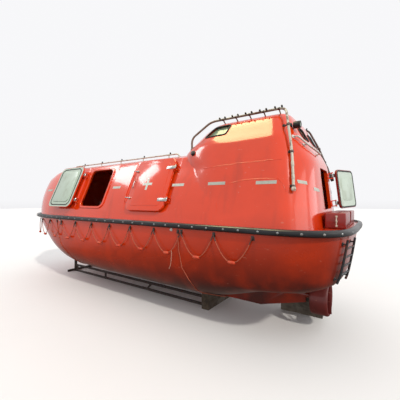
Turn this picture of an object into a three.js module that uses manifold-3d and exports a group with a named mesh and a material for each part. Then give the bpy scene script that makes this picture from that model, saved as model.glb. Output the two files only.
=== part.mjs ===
// Totally enclosed lifeboat standing on its storage cradle.
// Millimetres. +X points to the bow, +Y to port, +Z up; the ground is z = 0.
import * as THREE from 'three';
import { mergeVertices } from 'three/addons/utils/BufferGeometryUtils.js';
import Module from 'manifold-3d';

const wasm = await Module();
wasm.setup();

// Driving sizes of the whole boat
const HALF_LENGTH = 3670;
const HALF_BEAM = 1255;
const SHEER = 1460;
const FENDER_DEPTH = 55;
const FENDER_HEIGHT = 76;
const FENDER_LIP = 30;
const FENDER_FLAT = 0.55;
const HULL_WALL = 60;
const CANOPY_WALL = 45;
const DECK_THICKNESS = 25;
const HULL_TOP = SHEER - 10;
const DECK_TOP = HULL_TOP + DECK_THICKNESS;
const GAP = 0.3;
// Reach of a cutting solid past the face that it opens, and of one that takes in a whole side
const OVERRUN = 50;
const BEYOND = 4000;
const QUARTER_STEPS = 9;

// Waterlines of the hull: height, half breadth, bow end, stern end and fullness of the bow
const HULL_HALF = HALF_BEAM - FENDER_DEPTH;
const HULL_END = HALF_LENGTH - FENDER_DEPTH;
const HULL_LEVELS = [
  { z: 240, half: 40, bow: 2500, stern: -1100, bowAcross: 2 },
  { z: 270, half: 300, bow: 2600, stern: -1400, bowAcross: 2 },
  { z: 330, half: 560, bow: 2730, stern: -1750, bowAcross: 2.1 },
  { z: 420, half: 790, bow: 2860, stern: -2150, bowAcross: 2.2 },
  { z: 530, half: 945, bow: 2970, stern: -2450, bowAcross: 2.3 },
  { z: 690, half: 1068, bow: 3100, stern: -2960, bowAcross: 2.4 },
  { z: 750, half: 1095, bow: 3150, stern: -3330, bowAcross: 2.5 },
  { z: 860, half: 1130, bow: 3230, stern: -3500, bowAcross: 2.7 },
  { z: 1100, half: 1172, bow: 3390, stern: -3560, bowAcross: 3 },
  { z: HULL_TOP, half: HULL_HALF, bow: HULL_END, stern: -HULL_END, bowAcross: 3.4 },
];

// Levels of the forward canopy: height, half breadth and forward end
const CANOPY_LEVELS = [
  { z: DECK_TOP, half: 1146, bow: 3190 },
  { z: 1620, half: 1122, bow: 3230 },
  { z: 1840, half: 1064, bow: 3270 },
  { z: 2060, half: 980, bow: 3280 },
  { z: 2280, half: 876, bow: 3260 },
  { z: 2420, half: 800, bow: 3120 },
  { z: 2500, half: 750, bow: 2970 },
  { z: 2550, half: 640, bow: 2760 },
  { z: 2580, half: 420, bow: 2450 },
  { z: 2590, half: 200, bow: 2150 },
];
const CANOPY_AFT_END = -2200;

// Levels of the helmsman's tower: height, half breadth, forward end and bulge of the aft face
const TOWER_LEVELS = [
  { z: DECK_TOP, half: 1150, bow: -700, bulge: 169 },
  { z: 1800, half: 1075, bow: -800, bulge: 189 },
  { z: 2080, half: 1012, bow: -860, bulge: 206 },
  { z: 2300, half: 955, bow: -900, bulge: 219 },
  { z: 2560, half: 876, bow: -1090, bulge: 150 },
  { z: 2640, half: 850, bow: -1180, bulge: 120 },
  { z: 2700, half: 812, bow: -1260, bulge: 95 },
  { z: 2950, half: 645, bow: -1630, bulge: 15 },
  { z: 2975, half: 590, bow: -1720, bulge: 5 },
];
const TOWER_SIDE_START = -2050;
const TOWER_AFT_BASE = -3140;
const TOWER_AFT_SLOPE = 0.18;
const TOWER_SPLIT = -1300;
const TOWER_EDGE_Z = 2500;
const CANOPY_CROWN_Z = 2450;
const TOWER_CROWN_Z = 2600;

// Lengths of the curved ends of each plan, from where the side turns to the tip
const HULL_BOW_LENGTH = 2395;
const HULL_STERN_LENGTH = 1100;
const CANOPY_BOW_LENGTH = 1970;
const CANOPY_STERN_LENGTH = 100;
const TOWER_STERN_LENGTH = 260;

// Windows in the tower, each set into the skin along one axis
const SIDE_WINDOW = { low: [-1680, -2060], high: [-1830, -2110], bottom: 2760, top: 2910 };
const FRONT_WINDOW = { near: 40, far: 380, bottom: 2700, top: 2890, ends: [-1900, -1100] };
const AFT_WINDOW = { near: 150, far: 410, bottom: 2640, top: 2810, ends: [-3300, -2600] };
const PANE = { outside: 12, inside: 20 };

// Side hatches, measured in the flat recess that they close
const HATCH_PLANE_Y = 937.5;
const HATCH_MID_Z = 2060;
const HATCH_LEAN = Math.atan2(375, 880);
const HATCH_OPENING = { width: 680, height: 780, radius: 90 };
const HATCH_RIM = { width: 770, height: 870, radius: 130, proud: 20 };
const HATCH_PANEL = { width: 860, height: 930, radius: 120, thickness: 34, lift: 26 };
const HATCH_RECESS = { width: 1056, height: 1100, depth: 200 };
const OPENING_REACH = { inside: -300, outside: 200 };
const HATCH_HINGE_X = 475;
const HATCH_HINGE_LIFT = 76;
const HATCH_OPEN = Math.PI;
const FORE_HATCH_X = 750;
const AFT_HATCH_X = -760;

// Door in the tower's aft face
const DOOR_MID_Z = 1975;
const DOOR_FACE_X = -3250;
const DOOR_LEAN = Math.atan(0.12);
const DOOR_OPENING = { width: 540, height: 560, radius: 30 };
const DOOR_PANEL = { width: 620, height: 600, radius: 80, thickness: 32, lift: 8 };
const DOOR_HINGE_X = 345;
const DOOR_HINGE_LIFT = 56;
const DOOR_OPEN = THREE.MathUtils.degToRad(165);

// Inside of the cabin; heights are above the sole
const SOLE = { top: 640, thickness: 40, half: 1000, ends: [-3100, 2900] };
const BENCH = { near: 640, far: 1180, height: 400, ends: [-1700, 2500] };
const ENGINE = { half: 280, height: 560, ends: [-2400, -1650] };
const SEAT = { half: 240, top: 980, back: 1450, thickness: 70, ends: [-2400, -1960] };

// Stern gear
const SHAFT_Z = 430;
const NOZZLE_X = -3185;
const NOZZLE = { outer: 240, inner: 207, length: 230 };
const PROPELLER_X = -3160;
const PROPELLER_RADIUS = 190;
const SKEG_END = -2980;
const KEEL_BOTTOM = 140;
const KEEL_WIDTH = 76;
const BOSS_BOTTOM = 700;
const STOCK_BOSS = { radius: 48, height: 90 };
const SHAFT_TUBE = { radius: 40, inside: 260, outside: 50 };

// Side view of the keel and skeg, as [x, z], inside the hull along its upper edge
const KEEL_FIN = [
  [2500, KEEL_BOTTOM], [2760, 330], [-1000, 330], [SKEG_END, 760], [SKEG_END, 324], [-2290, KEEL_BOTTOM],
];

// Lifting hooks, each in a slot of its pedestal
const PEDESTALS = [
  { end: 'fore', sign: 1, inner: 3310, outer: 3540, half: 270 },
  { end: 'aft', sign: -1, inner: 3322, outer: 3552, half: 560 },
];
const PEDESTAL_TOP = 1665;
const HOOK_SLOT = { half: 75, floor: 1515, rim: 20 };

// Grab line and the clips that hold it
const LINE_RADIUS = 6;
const CLIP = { width: 46, depth: 16, root: 20, height: 60, z: 1375 };
const CLIP_FIRST_X = -2655;
const CLIP_SPACING = 534;
const CLIP_COUNT = 12;
const LOOP_DROP = 320;
const LOOP_STEPS = 7;

// Spray rail on the canopy roof, spray pipe over the tower: lines to port, as [x, y, z]
const RAIL_Y = 560;
const RAIL_Z = 2618;
const RAIL_RADIUS = 13;
const RAIL_WAY = [
  [2150, RAIL_Y, 2540], [2130, RAIL_Y, RAIL_Z], [-1000, RAIL_Y, RAIL_Z], [-1060, RAIL_Y, 2560],
];
const RAIL_POSTS = [1800, 1150, 500, -150, -800];
const RAIL_POST_FOOT = 2540;
const RAIL_NOZZLE = { ahead: -40, y: 575, z: 2655 };
const PIPE_Y = 655;
const PIPE_Z = 3018;
const PIPE_RADIUS = 16;
const PIPE_START = [[-1400, 700, 2700], [-1400, 690, 2800], [-1740, PIPE_Y, PIPE_Z]];
const PIPE_DOWN = {
  port: [[-2945, 775, 2760], [-3016, 872, 2400], [-3072, 1002, 1930]],
  starboard: [[-3036, 665, 2670], [-3124, 650, 2440], [-3244, 620, 2130]],
};
const PIPE_AFT = { port: -2880, starboard: -2862 };
const PIPE_POSTS = [-1950, -2160, -2370, -2580, -2790];
const PIPE_POST_FOOT = { y: 600, z: 2940 };
const PIPE_NOZZLE = { ahead: 45, y: 690, z: 3047 };
const PIPE_CLAMP = { along: 90, inward: 70, rise: 12 };
const NOZZLE_RADIUS = 9;
const POST_RADIUS = 10;

// Keel lines, drawn tight from gunwale to gunwale under the boat: the port half of each, from its
// clip down the side to the keel
const KEEL_LINES = {
  fore: [
    [1812, 1187, 1343.9], [1822, 1152.3, 1098.2], [1822, 1093.7, 857.1], [1735, 1056.9, 746],
    [1680, 1029, 684.7], [1665, 894.4, 522.8], [1660, 729, 411.5], [1660, 48, 133.2],
  ],
  aft: [
    [-1524, 1201.5, 1343.9], [-1532, 1181.4, 1098.8], [-1553, 1139.2, 857.7], [-1605, 1103.9, 746.6],
    [-1625, 1076.1, 685.1], [-1650, 946.6, 522.9], [-1650, 866.3, 467.2], [-1650, 773.8, 411.3],
    [-1650, 48, 133.2],
  ],
};

// Loose end that hangs from the port grab line
const LINE_TAIL = [
  [-1425, 1216.8, 1096], [-1423, 1216, 1030], [-1416, 1215, 960], [-1404, 1213, 895], [-1372, 1211, 830],
];
const TAIL_RADIUS = 5;

// Cradle
const TRUSS_Y = 300;
const TRUSS_FRONT = 2640;
const TRUSS_BACK = -1400;
const CHORD = 40;
const BRACE = 36;
const FRONT_POST = 50;
const GUSSET = { top: 105, bottom: 70, thickness: 12 };
const UPPER_CHORD = { low: 135, high: 175 };
const FOOT = { half: 480, height: 50 };
const BOLSTER = { x: -1480, width: 140, half: 440 };
const BOARD = { front: -2510, back: -3150, y: -300, thickness: 60 };

function paint(colour, roughness, metalness = 0) {
  return new THREE.MeshStandardMaterial({ color: colour, roughness, metalness });
}
const ORANGE = paint('#cf4a2c', 0.35);
const DARK_RED = paint('#9c2c1e', 0.45);
const BLACK_RUBBER = paint('#1d1e20', 0.8);
const GLASS = paint('#a9c0ab', 0.15);
const PALE_GRP = paint('#c9cfc2', 0.5);
const STEEL = paint('#8d908e', 0.4, 0.8);
const PIPE_PAINT = paint('#d5cfbd', 0.45, 0.2);
const BRONZE = paint('#9a7b43', 0.4, 0.8);
const RUST = paint('#54362a', 0.9, 0.2);
const TIMBER = paint('#5d5146', 0.95);
const ROPE = paint('#c96a4d', 0.9);
const DARK_PAINT = paint('#3a3d40', 0.7);

const boat = new THREE.Group();

function addMesh(name, geometry, material, parent = boat) {
  const mesh = new THREE.Mesh(geometry, material);
  mesh.name = name;
  parent.add(mesh);
  return mesh;
}

// Booleans on closed geometries
function solidOf(geometry) {
  const bare = geometry.clone();
  bare.deleteAttribute('normal');
  bare.deleteAttribute('uv');
  const merged = mergeVertices(bare, 1e-3);
  return new wasm.Manifold(new wasm.Mesh({
    numProp: 3,
    vertProperties: new Float32Array(merged.attributes.position.array),
    triVerts: new Uint32Array(merged.index.array),
  }));
}

function geometryOf(solid) {
  const mesh = solid.getMesh();
  const geometry = new THREE.BufferGeometry();
  geometry.setAttribute('position', new THREE.BufferAttribute(new Float32Array(mesh.vertProperties), 3));
  geometry.setIndex(new THREE.BufferAttribute(new Uint32Array(mesh.triVerts), 1));
  geometry.computeVertexNormals();
  return geometry;
}

function union(solids) {
  return solids.reduce((sum, solid) => sum.add(solid));
}

// Simple solids, already in place
function box(x0, x1, y0, y1, z0, z1) {
  const geometry = new THREE.BoxGeometry(x1 - x0, y1 - y0, z1 - z0);
  geometry.translate((x0 + x1) / 2, (y0 + y1) / 2, (z0 + z1) / 2);
  return solidOf(geometry);
}

function bar(from, to, radius, sides = 12) {
  const axis = new THREE.Vector3().subVectors(to, from);
  const geometry = new THREE.CylinderGeometry(radius, radius, axis.length(), sides);
  const up = new THREE.Vector3(0, 1, 0);
  geometry.applyQuaternion(new THREE.Quaternion().setFromUnitVectors(up, axis.clone().normalize()));
  const middle = new THREE.Vector3().addVectors(from, to).multiplyScalar(0.5);
  geometry.translate(middle.x, middle.y, middle.z);
  return solidOf(geometry);
}

function squareBar(from, to, size) {
  const axis = new THREE.Vector3().subVectors(to, from);
  const geometry = new THREE.BoxGeometry(size, size, axis.length());
  const along = new THREE.Vector3(0, 0, 1);
  geometry.applyQuaternion(new THREE.Quaternion().setFromUnitVectors(along, axis.clone().normalize()));
  const middle = new THREE.Vector3().addVectors(from, to).multiplyScalar(0.5);
  geometry.translate(middle.x, middle.y, middle.z);
  return solidOf(geometry);
}

// Closed skin over a stack of loops that all have the same number of points
function loft(loops) {
  const count = loops[0].length;
  const positions = loops.flat().flatMap((point) => [point.x, point.y, point.z]);
  const faces = [];
  for (let level = 0; level < loops.length - 1; level += 1) {
    for (let i = 0; i < count; i += 1) {
      const next = (i + 1) % count;
      const a = level * count + i;
      const b = level * count + next;
      faces.push(a, b, b + count, a, b + count, a + count);
    }
  }
  const top = (loops.length - 1) * count;
  for (let i = 1; i < count / 2; i += 1) {
    const left = i;
    const right = count - i;
    const before = (right + 1) % count;
    faces.push(before, right, left, before, left, left - 1);
    faces.push(top + before, top + left, top + right, top + before, top + left - 1, top + left);
  }
  const middle = count / 2;
  faces.push(middle + 1, middle, middle - 1);
  faces.push(top + middle + 1, top + middle - 1, top + middle);
  const geometry = new THREE.BufferGeometry();
  geometry.setAttribute('position', new THREE.Float32BufferAttribute(positions, 3));
  geometry.setIndex(faces);
  return geometry;
}

// Quarter of a superellipse: shares of its length and of its breadth, from the side to the end.
// The last facet, which runs to the centre line, is split where the end face is bulged.
function quarter(along, across, centreSteps) {
  const shares = [];
  for (let i = QUARTER_STEPS; i > 0; i -= 1) {
    const turn = (i / QUARTER_STEPS) * Math.PI / 2;
    shares.push([Math.cos(turn) ** (2 / along), Math.sin(turn) ** (2 / across)]);
  }
  const [length, breadth] = shares[shares.length - 1];
  for (let i = 1; i <= centreSteps; i += 1) {
    const t = i / centreSteps;
    shares.push([THREE.MathUtils.lerp(length, 1, t), breadth * (1 - t)]);
  }
  return shares;
}

// Plan of one level: straight sides with rounded ends, from the bow round by port
function planLoop(level, inset = 0) {
  const half = level.half - inset;
  const bow = level.bow - inset;
  const stern = level.stern + inset;
  const bulge = level.bulge ?? 0;
  const fore = quarter(level.bowAlong, level.bowAcross, 1).reverse();
  const aft = quarter(level.sternAlong, level.sternAcross, bulge > 0 ? 4 : 1);
  const port = fore.map(([length, breadth]) => (
    new THREE.Vector3(THREE.MathUtils.lerp(level.bowStart, bow, length), half * breadth, level.z)
  ));
  for (const [length, breadth] of aft) {
    const x = THREE.MathUtils.lerp(level.sternStart, stern, length) - bulge * length * (1 - breadth ** 4);
    port.push(new THREE.Vector3(x, half * breadth, level.z));
  }
  const starboard = port.slice(1, -1).reverse();
  return [...port, ...starboard.map((point) => new THREE.Vector3(point.x, -point.y, point.z))];
}

function hullLevel(row) {
  return {
    ...row,
    bowStart: row.bow - HULL_BOW_LENGTH,
    bowAlong: 2.6,
    sternStart: row.stern + HULL_STERN_LENGTH,
    sternAlong: 4,
    sternAcross: 4,
  };
}

function canopyLevel(row) {
  return {
    ...row,
    stern: CANOPY_AFT_END,
    bowStart: row.bow - CANOPY_BOW_LENGTH,
    bowAlong: 4,
    bowAcross: 6,
    sternStart: CANOPY_AFT_END + CANOPY_STERN_LENGTH,
    sternAlong: 2,
    sternAcross: 2,
  };
}

function towerLevel(row) {
  const stern = TOWER_AFT_BASE + (row.z - DECK_TOP) * TOWER_AFT_SLOPE;
  const low = row.z < TOWER_EDGE_Z;
  return {
    ...row,
    stern,
    bowStart: TOWER_SIDE_START,
    bowAlong: low ? 2 : 2.8,
    bowAcross: low ? 2 : 2.8,
    sternStart: stern + TOWER_STERN_LENGTH,
    sternAlong: 4,
    sternAcross: 7,
  };
}

// The same stack of levels, moved inwards by the inset and cut or run on at its ends
function stack(rows, levelOf, inset, lowest, highest) {
  const levels = rows.map(levelOf);
  const loops = levels.map((level) => planLoop(level, inset));
  loops[0].forEach((point) => { point.z = lowest; });
  loops[loops.length - 1].forEach((point) => { point.z = highest; });
  return solidOf(loft(loops));
}

function hullSolid(inset, top = HULL_TOP) {
  const rows = HULL_LEVELS.map((row) => ({ ...row, z: row.z + inset }));
  return stack(rows, hullLevel, inset, HULL_LEVELS[0].z + inset, top);
}

function upperSolid(inset, bottom = DECK_TOP + GAP) {
  const canopyRows = CANOPY_LEVELS.map((row) => ({ ...row, z: row.z - inset * (row.z > CANOPY_CROWN_Z) }));
  const towerRows = TOWER_LEVELS.map((row) => ({ ...row, z: row.z - inset * (row.z > TOWER_CROWN_Z) }));
  const canopyTop = CANOPY_LEVELS[CANOPY_LEVELS.length - 1].z - inset;
  const towerTop = TOWER_LEVELS[TOWER_LEVELS.length - 1].z - inset;
  const canopy = stack(canopyRows, canopyLevel, inset, bottom, canopyTop);
  const tower = stack(towerRows, towerLevel, inset, bottom, towerTop);
  return canopy.add(tower);
}

// Rounded rectangle, extruded from one height to another along its own Z
function roundedSlab(size, from, to, cornerSteps = 4) {
  const shape = new THREE.Shape();
  const w = size.width / 2;
  const h = size.height / 2;
  const r = size.radius;
  shape.moveTo(w, -h + r);
  shape.lineTo(w, h - r);
  shape.absarc(w - r, h - r, r, 0, Math.PI / 2);
  shape.lineTo(-w + r, h);
  shape.absarc(-w + r, h - r, r, Math.PI / 2, Math.PI);
  shape.lineTo(-w, -h + r);
  shape.absarc(-w + r, -h + r, r, Math.PI, Math.PI * 1.5);
  shape.lineTo(w - r, -h);
  shape.absarc(w - r, -h + r, r, Math.PI * 1.5, Math.PI * 2);
  const geometry = new THREE.ExtrudeGeometry(shape, {
    depth: to - from,
    bevelEnabled: false,
    curveSegments: cornerSteps,
  });
  geometry.translate(0, 0, from);
  return geometry;
}

// Frame of a side hatch: local X along the boat, local Y up the slope, local Z outwards
function hatchMatrix(side, x) {
  const lean = HATCH_LEAN;
  const along = new THREE.Vector3(-side, 0, 0);
  const up = new THREE.Vector3(0, -side * Math.sin(lean), Math.cos(lean));
  const out = new THREE.Vector3(0, side * Math.cos(lean), Math.sin(lean));
  const matrix = new THREE.Matrix4().makeBasis(along, up, out);
  return matrix.setPosition(x, side * HATCH_PLANE_Y, HATCH_MID_Z);
}

// Frame of the aft door: local X to starboard, local Y up the face, local Z aft
function doorMatrix() {
  const lean = DOOR_LEAN;
  const along = new THREE.Vector3(0, -1, 0);
  const up = new THREE.Vector3(Math.sin(lean), 0, Math.cos(lean));
  const out = new THREE.Vector3(-Math.cos(lean), 0, Math.sin(lean));
  const matrix = new THREE.Matrix4().makeBasis(along, up, out);
  return matrix.setPosition(DOOR_FACE_X, 0, DOOR_MID_Z);
}

function placed(geometry, matrix) {
  return solidOf(geometry.clone().applyMatrix4(matrix));
}

// The four side hatches: where each sits, which edge is hinged (+1 fore, -1 aft) and how far open
const SIDE_HATCHES = [
  { name: 'hatch_port_fore', side: 1, x: FORE_HATCH_X, hinge: 1, open: HATCH_OPEN },
  { name: 'hatch_port_aft', side: 1, x: AFT_HATCH_X, hinge: -1, open: 0 },
  { name: 'hatch_starboard_fore', side: -1, x: FORE_HATCH_X, hinge: 1, open: 0 },
  { name: 'hatch_starboard_aft', side: -1, x: AFT_HATCH_X, hinge: -1, open: 0 },
];
const HINGE_PIN = 11;
const HINGE_WIDTH = 64;
const HINGE_REACH = 280;
const HINGE_EDGE = 90;
const HINGE_LUG = { half: 14, foot: 16, root: 14, base: 8, play: 0.5 };
const HINGE_STRAP = { length: 150, thickness: 9, inset: 4 };

// Heights of a panel's two hinges above and below its middle
function hingeHeights(panel) {
  const height = Math.min(HINGE_REACH, panel.height / 2 - HINGE_EDGE);
  return [-height, height];
}

// Two lugs and a base plate that carry one hinge barrel, local to a panel's frame
function hingeBracket(hingeX, lift, y) {
  const { half, foot, root, base: top, play } = HINGE_LUG;
  const reach = HINGE_WIDTH / 2 + half;
  const base = box(hingeX - foot, hingeX + foot, y - reach, y + reach, -root, top);
  const lugs = [-1, 1].map((end) => {
    const ends = [y + end * (HINGE_WIDTH / 2 + play), y + end * reach].sort((a, b) => a - b);
    return box(hingeX - half, hingeX + half, ...ends, -root, lift + half);
  });
  return union([base, ...lugs]);
}

// Leaf of one hinge: a barrel on the pin line and a strap onto the panel
function hingeLeaf(reach, panelFace, y) {
  const half = HINGE_WIDTH / 2;
  const barrel = bar(new THREE.Vector3(0, y - half, 0), new THREE.Vector3(0, y + half, 0), HINGE_PIN);
  const inward = Math.sign(reach);
  const end = reach + inward * HINGE_STRAP.length;
  const strap = box(
    Math.min(0, end),
    Math.max(0, end),
    y - half + HINGE_STRAP.inset,
    y + half - HINGE_STRAP.inset,
    panelFace - 1,
    panelFace + HINGE_STRAP.thickness,
  );
  return barrel.add(strap);
}

// A hinged panel in its own hinge group, so that it turns about its pin line
function hingedPanel(name, matrix, panel, hingeX, hingeLift, open, material) {
  const frame = new THREE.Group();
  frame.applyMatrix4(matrix);
  const hinge = new THREE.Group();
  hinge.position.set(hingeX, 0, hingeLift);
  hinge.rotation.y = Math.sign(hingeX) * open;
  frame.add(hinge);
  boat.add(frame);
  const slab = roundedSlab(panel, panel.lift - hingeLift, panel.lift + panel.thickness - hingeLift);
  slab.translate(-hingeX, 0, 0);
  const edge = -Math.sign(hingeX) * (Math.abs(hingeX) - panel.width / 2);
  const face = panel.lift + panel.thickness - hingeLift;
  const leaves = hingeHeights(panel).map((y) => hingeLeaf(edge, face, y));
  addMesh(name, geometryOf(union([solidOf(slab), ...leaves])), material, hinge);
}

// Plan at any height between two rows of a stack, from the bow round by port
function planAt(rows, levelOf, height) {
  const upper = rows.findIndex((row) => row.z >= height);
  const below = rows[upper - 1];
  const above = rows[upper];
  const share = (height - below.z) / (above.z - below.z);
  const row = {};
  for (const key of Object.keys(below)) row[key] = THREE.MathUtils.lerp(below[key], above[key], share);
  return planLoop(levelOf(row));
}

// How far along the boat the aft end of a plan lies, at a distance to port
function aftEnd(plan, y) {
  const portAft = plan.slice(QUARTER_STEPS + 1, plan.length / 2 + 1);
  const index = portAft.findIndex((point) => point.y <= y);
  const a = portAft[index - 1];
  const b = portAft[index];
  return THREE.MathUtils.mapLinear(y, a.y, b.y, a.x, b.x);
}

// Point and outward direction on the port side of the hull, at a place along the boat
function hullSide(height, x) {
  const loop = planAt(HULL_LEVELS, hullLevel, height);
  const index = loop.findIndex((point) => point.x <= x);
  const a = loop[index - 1];
  const b = loop[index];
  const y = THREE.MathUtils.mapLinear(x, a.x, b.x, a.y, b.y);
  const out = new THREE.Vector3(a.y - b.y, b.x - a.x, 0).normalize().multiplyScalar(-1);
  return { point: new THREE.Vector3(x, y, height), out };
}

// Places of the clips: even steps along the curved side, from the aft one forward
function clipPlaces() {
  const places = [];
  let x = CLIP_FIRST_X;
  for (let i = 0; i < CLIP_COUNT; i += 1) {
    const place = hullSide(CLIP.z, x);
    places.push(place);
    x += CLIP_SPACING * Math.abs(place.out.y);
  }
  return places;
}

// Clips that hold the grab and keel lines, standing on the hull side under the fender
function lineClips() {
  const blocks = [];
  const keelClips = Object.values(KEEL_LINES).map(([start]) => hullSide(CLIP.z, start[0]));
  for (const side of [1, -1]) {
    for (const place of [...clipPlaces(), ...keelClips]) {
      const block = new THREE.BoxGeometry(CLIP.width, CLIP.depth + CLIP.root, CLIP.height);
      block.translate(0, (CLIP.depth - CLIP.root) / 2, 0);
      block.rotateZ(Math.atan2(-place.out.x, side * place.out.y));
      block.translate(place.point.x, side * place.point.y, place.point.z);
      blocks.push(solidOf(block));
    }
  }
  return union(blocks);
}

// Hull with its keel and skeg in one moulding, open at the top
function hullShell() {
  const keel = new THREE.Shape(KEEL_FIN.map(([x, z]) => new THREE.Vector2(x, z)));
  const fin = new THREE.ExtrudeGeometry(keel, { depth: KEEL_WIDTH, bevelEnabled: false });
  fin.translate(0, 0, -KEEL_WIDTH / 2);
  fin.rotateX(Math.PI / 2);
  const shaftStart = new THREE.Vector3(SKEG_END + SHAFT_TUBE.inside, 0, SHAFT_Z);
  const shaftEnd = new THREE.Vector3(SKEG_END - SHAFT_TUBE.outside, 0, SHAFT_Z);
  const tube = bar(shaftStart, shaftEnd, SHAFT_TUBE.radius, 16);
  const boss = bar(
    new THREE.Vector3(NOZZLE_X, 0, BOSS_BOTTOM),
    new THREE.Vector3(NOZZLE_X, 0, BOSS_BOTTOM + STOCK_BOSS.height),
    STOCK_BOSS.radius,
    16,
  );
  const moulding = union([hullSolid(0), solidOf(fin), tube, boss, lineClips()]);
  return moulding.subtract(hullSolid(HULL_WALL, HULL_TOP + OVERRUN));
}

// Flat gunwale flange with the fore and aft decks, holed where the cabin is open
function deck() {
  const rim = hullLevel({ ...HULL_LEVELS[HULL_LEVELS.length - 1] });
  const low = planLoop({ ...rim, z: HULL_TOP + GAP });
  const high = planLoop({ ...rim, z: DECK_TOP });
  const cabin = upperSolid(CANOPY_WALL + 6, HULL_TOP - OVERRUN);
  return solidOf(loft([low, high])).subtract(cabin);
}

// D-section rubber fender right round the gunwale
function fender() {
  const rim = hullLevel({ ...HULL_LEVELS[HULL_LEVELS.length - 1] });
  const half = FENDER_HEIGHT / 2;
  // Rows: height from the centre line and distance out of the hull side
  const profile = [
    { dz: -half, out: FENDER_LIP },
    { dz: -half * FENDER_FLAT, out: FENDER_DEPTH },
    { dz: half * FENDER_FLAT, out: FENDER_DEPTH },
    { dz: half, out: FENDER_LIP },
  ];
  const loops = profile.map((row) => planLoop({ ...rim, z: SHEER + row.dz }, -row.out));
  const outer = solidOf(loft(loops));
  const inner = [-half - 20, half + 20].map((dz) => planLoop({ ...rim, z: SHEER + dz }, -GAP));
  return outer.subtract(solidOf(loft(inner)));
}

function windowPrisms(shrink) {
  const side = new THREE.Shape();
  side.moveTo(SIDE_WINDOW.low[0] - shrink, SIDE_WINDOW.bottom + shrink);
  side.lineTo(SIDE_WINDOW.high[0] - shrink, SIDE_WINDOW.top - shrink);
  side.lineTo(SIDE_WINDOW.high[1] + shrink, SIDE_WINDOW.top - shrink);
  side.lineTo(SIDE_WINDOW.low[1] + shrink, SIDE_WINDOW.bottom + shrink);
  const sideGeometry = new THREE.ExtrudeGeometry(side, { depth: 2 * HALF_BEAM, bevelEnabled: false });
  sideGeometry.translate(0, 0, -HALF_BEAM);
  sideGeometry.rotateX(Math.PI / 2);
  const pair = (size) => union([-1, 1].map((end) => {
    const y = [end * size.near, end * size.far].sort((a, b) => a - b);
    return box(...size.ends, y[0] + shrink, y[1] - shrink, size.bottom + shrink, size.top - shrink);
  }));
  return { side: solidOf(sideGeometry), front: pair(FRONT_WINDOW), aft: pair(AFT_WINDOW) };
}

// Canopy and tower skin with its hatch recesses, rims, openings and windows
function upperShell() {
  let outer = upperSolid(0);
  const rims = [];
  const openings = [];
  for (const hatch of SIDE_HATCHES) {
    const matrix = hatchMatrix(hatch.side, hatch.x);
    const recess = new THREE.BoxGeometry(HATCH_RECESS.width, HATCH_RECESS.height, HATCH_RECESS.depth);
    recess.translate(0, 0, HATCH_RECESS.depth / 2);
    outer = outer.subtract(placed(recess, matrix));
    rims.push(placed(roundedSlab(HATCH_RIM, -HATCH_RIM.proud, HATCH_RIM.proud), matrix));
    openings.push(placed(roundedSlab(HATCH_OPENING, OPENING_REACH.inside, OPENING_REACH.outside), matrix));
    const hingeX = -hatch.side * hatch.hinge * HATCH_HINGE_X;
    for (const y of hingeHeights(HATCH_PANEL)) {
      rims.push(hingeBracket(hingeX, HATCH_HINGE_LIFT, y).transform(matrix.elements));
    }
  }
  const door = doorMatrix();
  openings.push(placed(roundedSlab(DOOR_OPENING, OPENING_REACH.inside, OPENING_REACH.outside), door));
  for (const y of hingeHeights(DOOR_PANEL)) {
    rims.push(hingeBracket(DOOR_HINGE_X, DOOR_HINGE_LIFT, y).transform(door.elements));
  }
  const cuts = windowPrisms(0);
  return outer
    .subtract(upperSolid(CANOPY_WALL, DECK_TOP - OVERRUN))
    .add(union(rims))
    .subtract(union(openings))
    .subtract(cuts.side)
    .subtract(cuts.front)
    .subtract(cuts.aft);
}

// Block under the aft doorway that parts the sill from the rest of the tower
function sillBlock(clearance) {
  const width = DOOR_OPENING.width - 2 * DOOR_OPENING.radius + 2 * clearance;
  const block = new THREE.BoxGeometry(width, DOOR_OPENING.height, 500);
  return placed(block.translate(0, 10 - DOOR_OPENING.height, 0), doorMatrix());
}

// Canopy forward, tower aft and the sill of the aft doorway, with their panes
function addUpperWorks() {
  const shell = upperShell();
  const ahead = box(TOWER_SPLIT + GAP / 2, BEYOND, -BEYOND, BEYOND, 0, BEYOND);
  const behind = box(-BEYOND, TOWER_SPLIT - GAP / 2, -BEYOND, BEYOND, 0, BEYOND);
  addMesh('canopy_shell', geometryOf(shell.intersect(ahead)), ORANGE);
  addMesh('tower_shell', geometryOf(shell.intersect(behind).subtract(sillBlock(GAP / 2))), ORANGE);
  addMesh('tower_sill', geometryOf(shell.intersect(sillBlock(-GAP / 2))), ORANGE);
  const glass = upperSolid(PANE.outside).subtract(upperSolid(PANE.inside, DECK_TOP - OVERRUN));
  const panes = windowPrisms(GAP);
  const port = box(-BEYOND, BEYOND, 0, BEYOND, 0, BEYOND);
  const starboard = box(-BEYOND, BEYOND, -BEYOND, 0, 0, BEYOND);
  addMesh('window_port', geometryOf(glass.intersect(panes.side).intersect(port)), GLASS);
  addMesh('window_starboard', geometryOf(glass.intersect(panes.side).intersect(starboard)), GLASS);
  addMesh('window_front_port', geometryOf(glass.intersect(panes.front).intersect(port)), GLASS);
  addMesh('window_front_starboard', geometryOf(glass.intersect(panes.front).intersect(starboard)), GLASS);
  addMesh('window_aft_port', geometryOf(glass.intersect(panes.aft).intersect(port)), GLASS);
  addMesh('window_aft_starboard', geometryOf(glass.intersect(panes.aft).intersect(starboard)), GLASS);
}

function addHatches() {
  for (const hatch of SIDE_HATCHES) {
    const hingeX = -hatch.side * hatch.hinge * HATCH_HINGE_X;
    const matrix = hatchMatrix(hatch.side, hatch.x);
    hingedPanel(hatch.name, matrix, HATCH_PANEL, hingeX, HATCH_HINGE_LIFT, hatch.open, ORANGE);
  }
  hingedPanel('aft_door', doorMatrix(), DOOR_PANEL, DOOR_HINGE_X, DOOR_HINGE_LIFT, DOOR_OPEN, DARK_RED);
}

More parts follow.
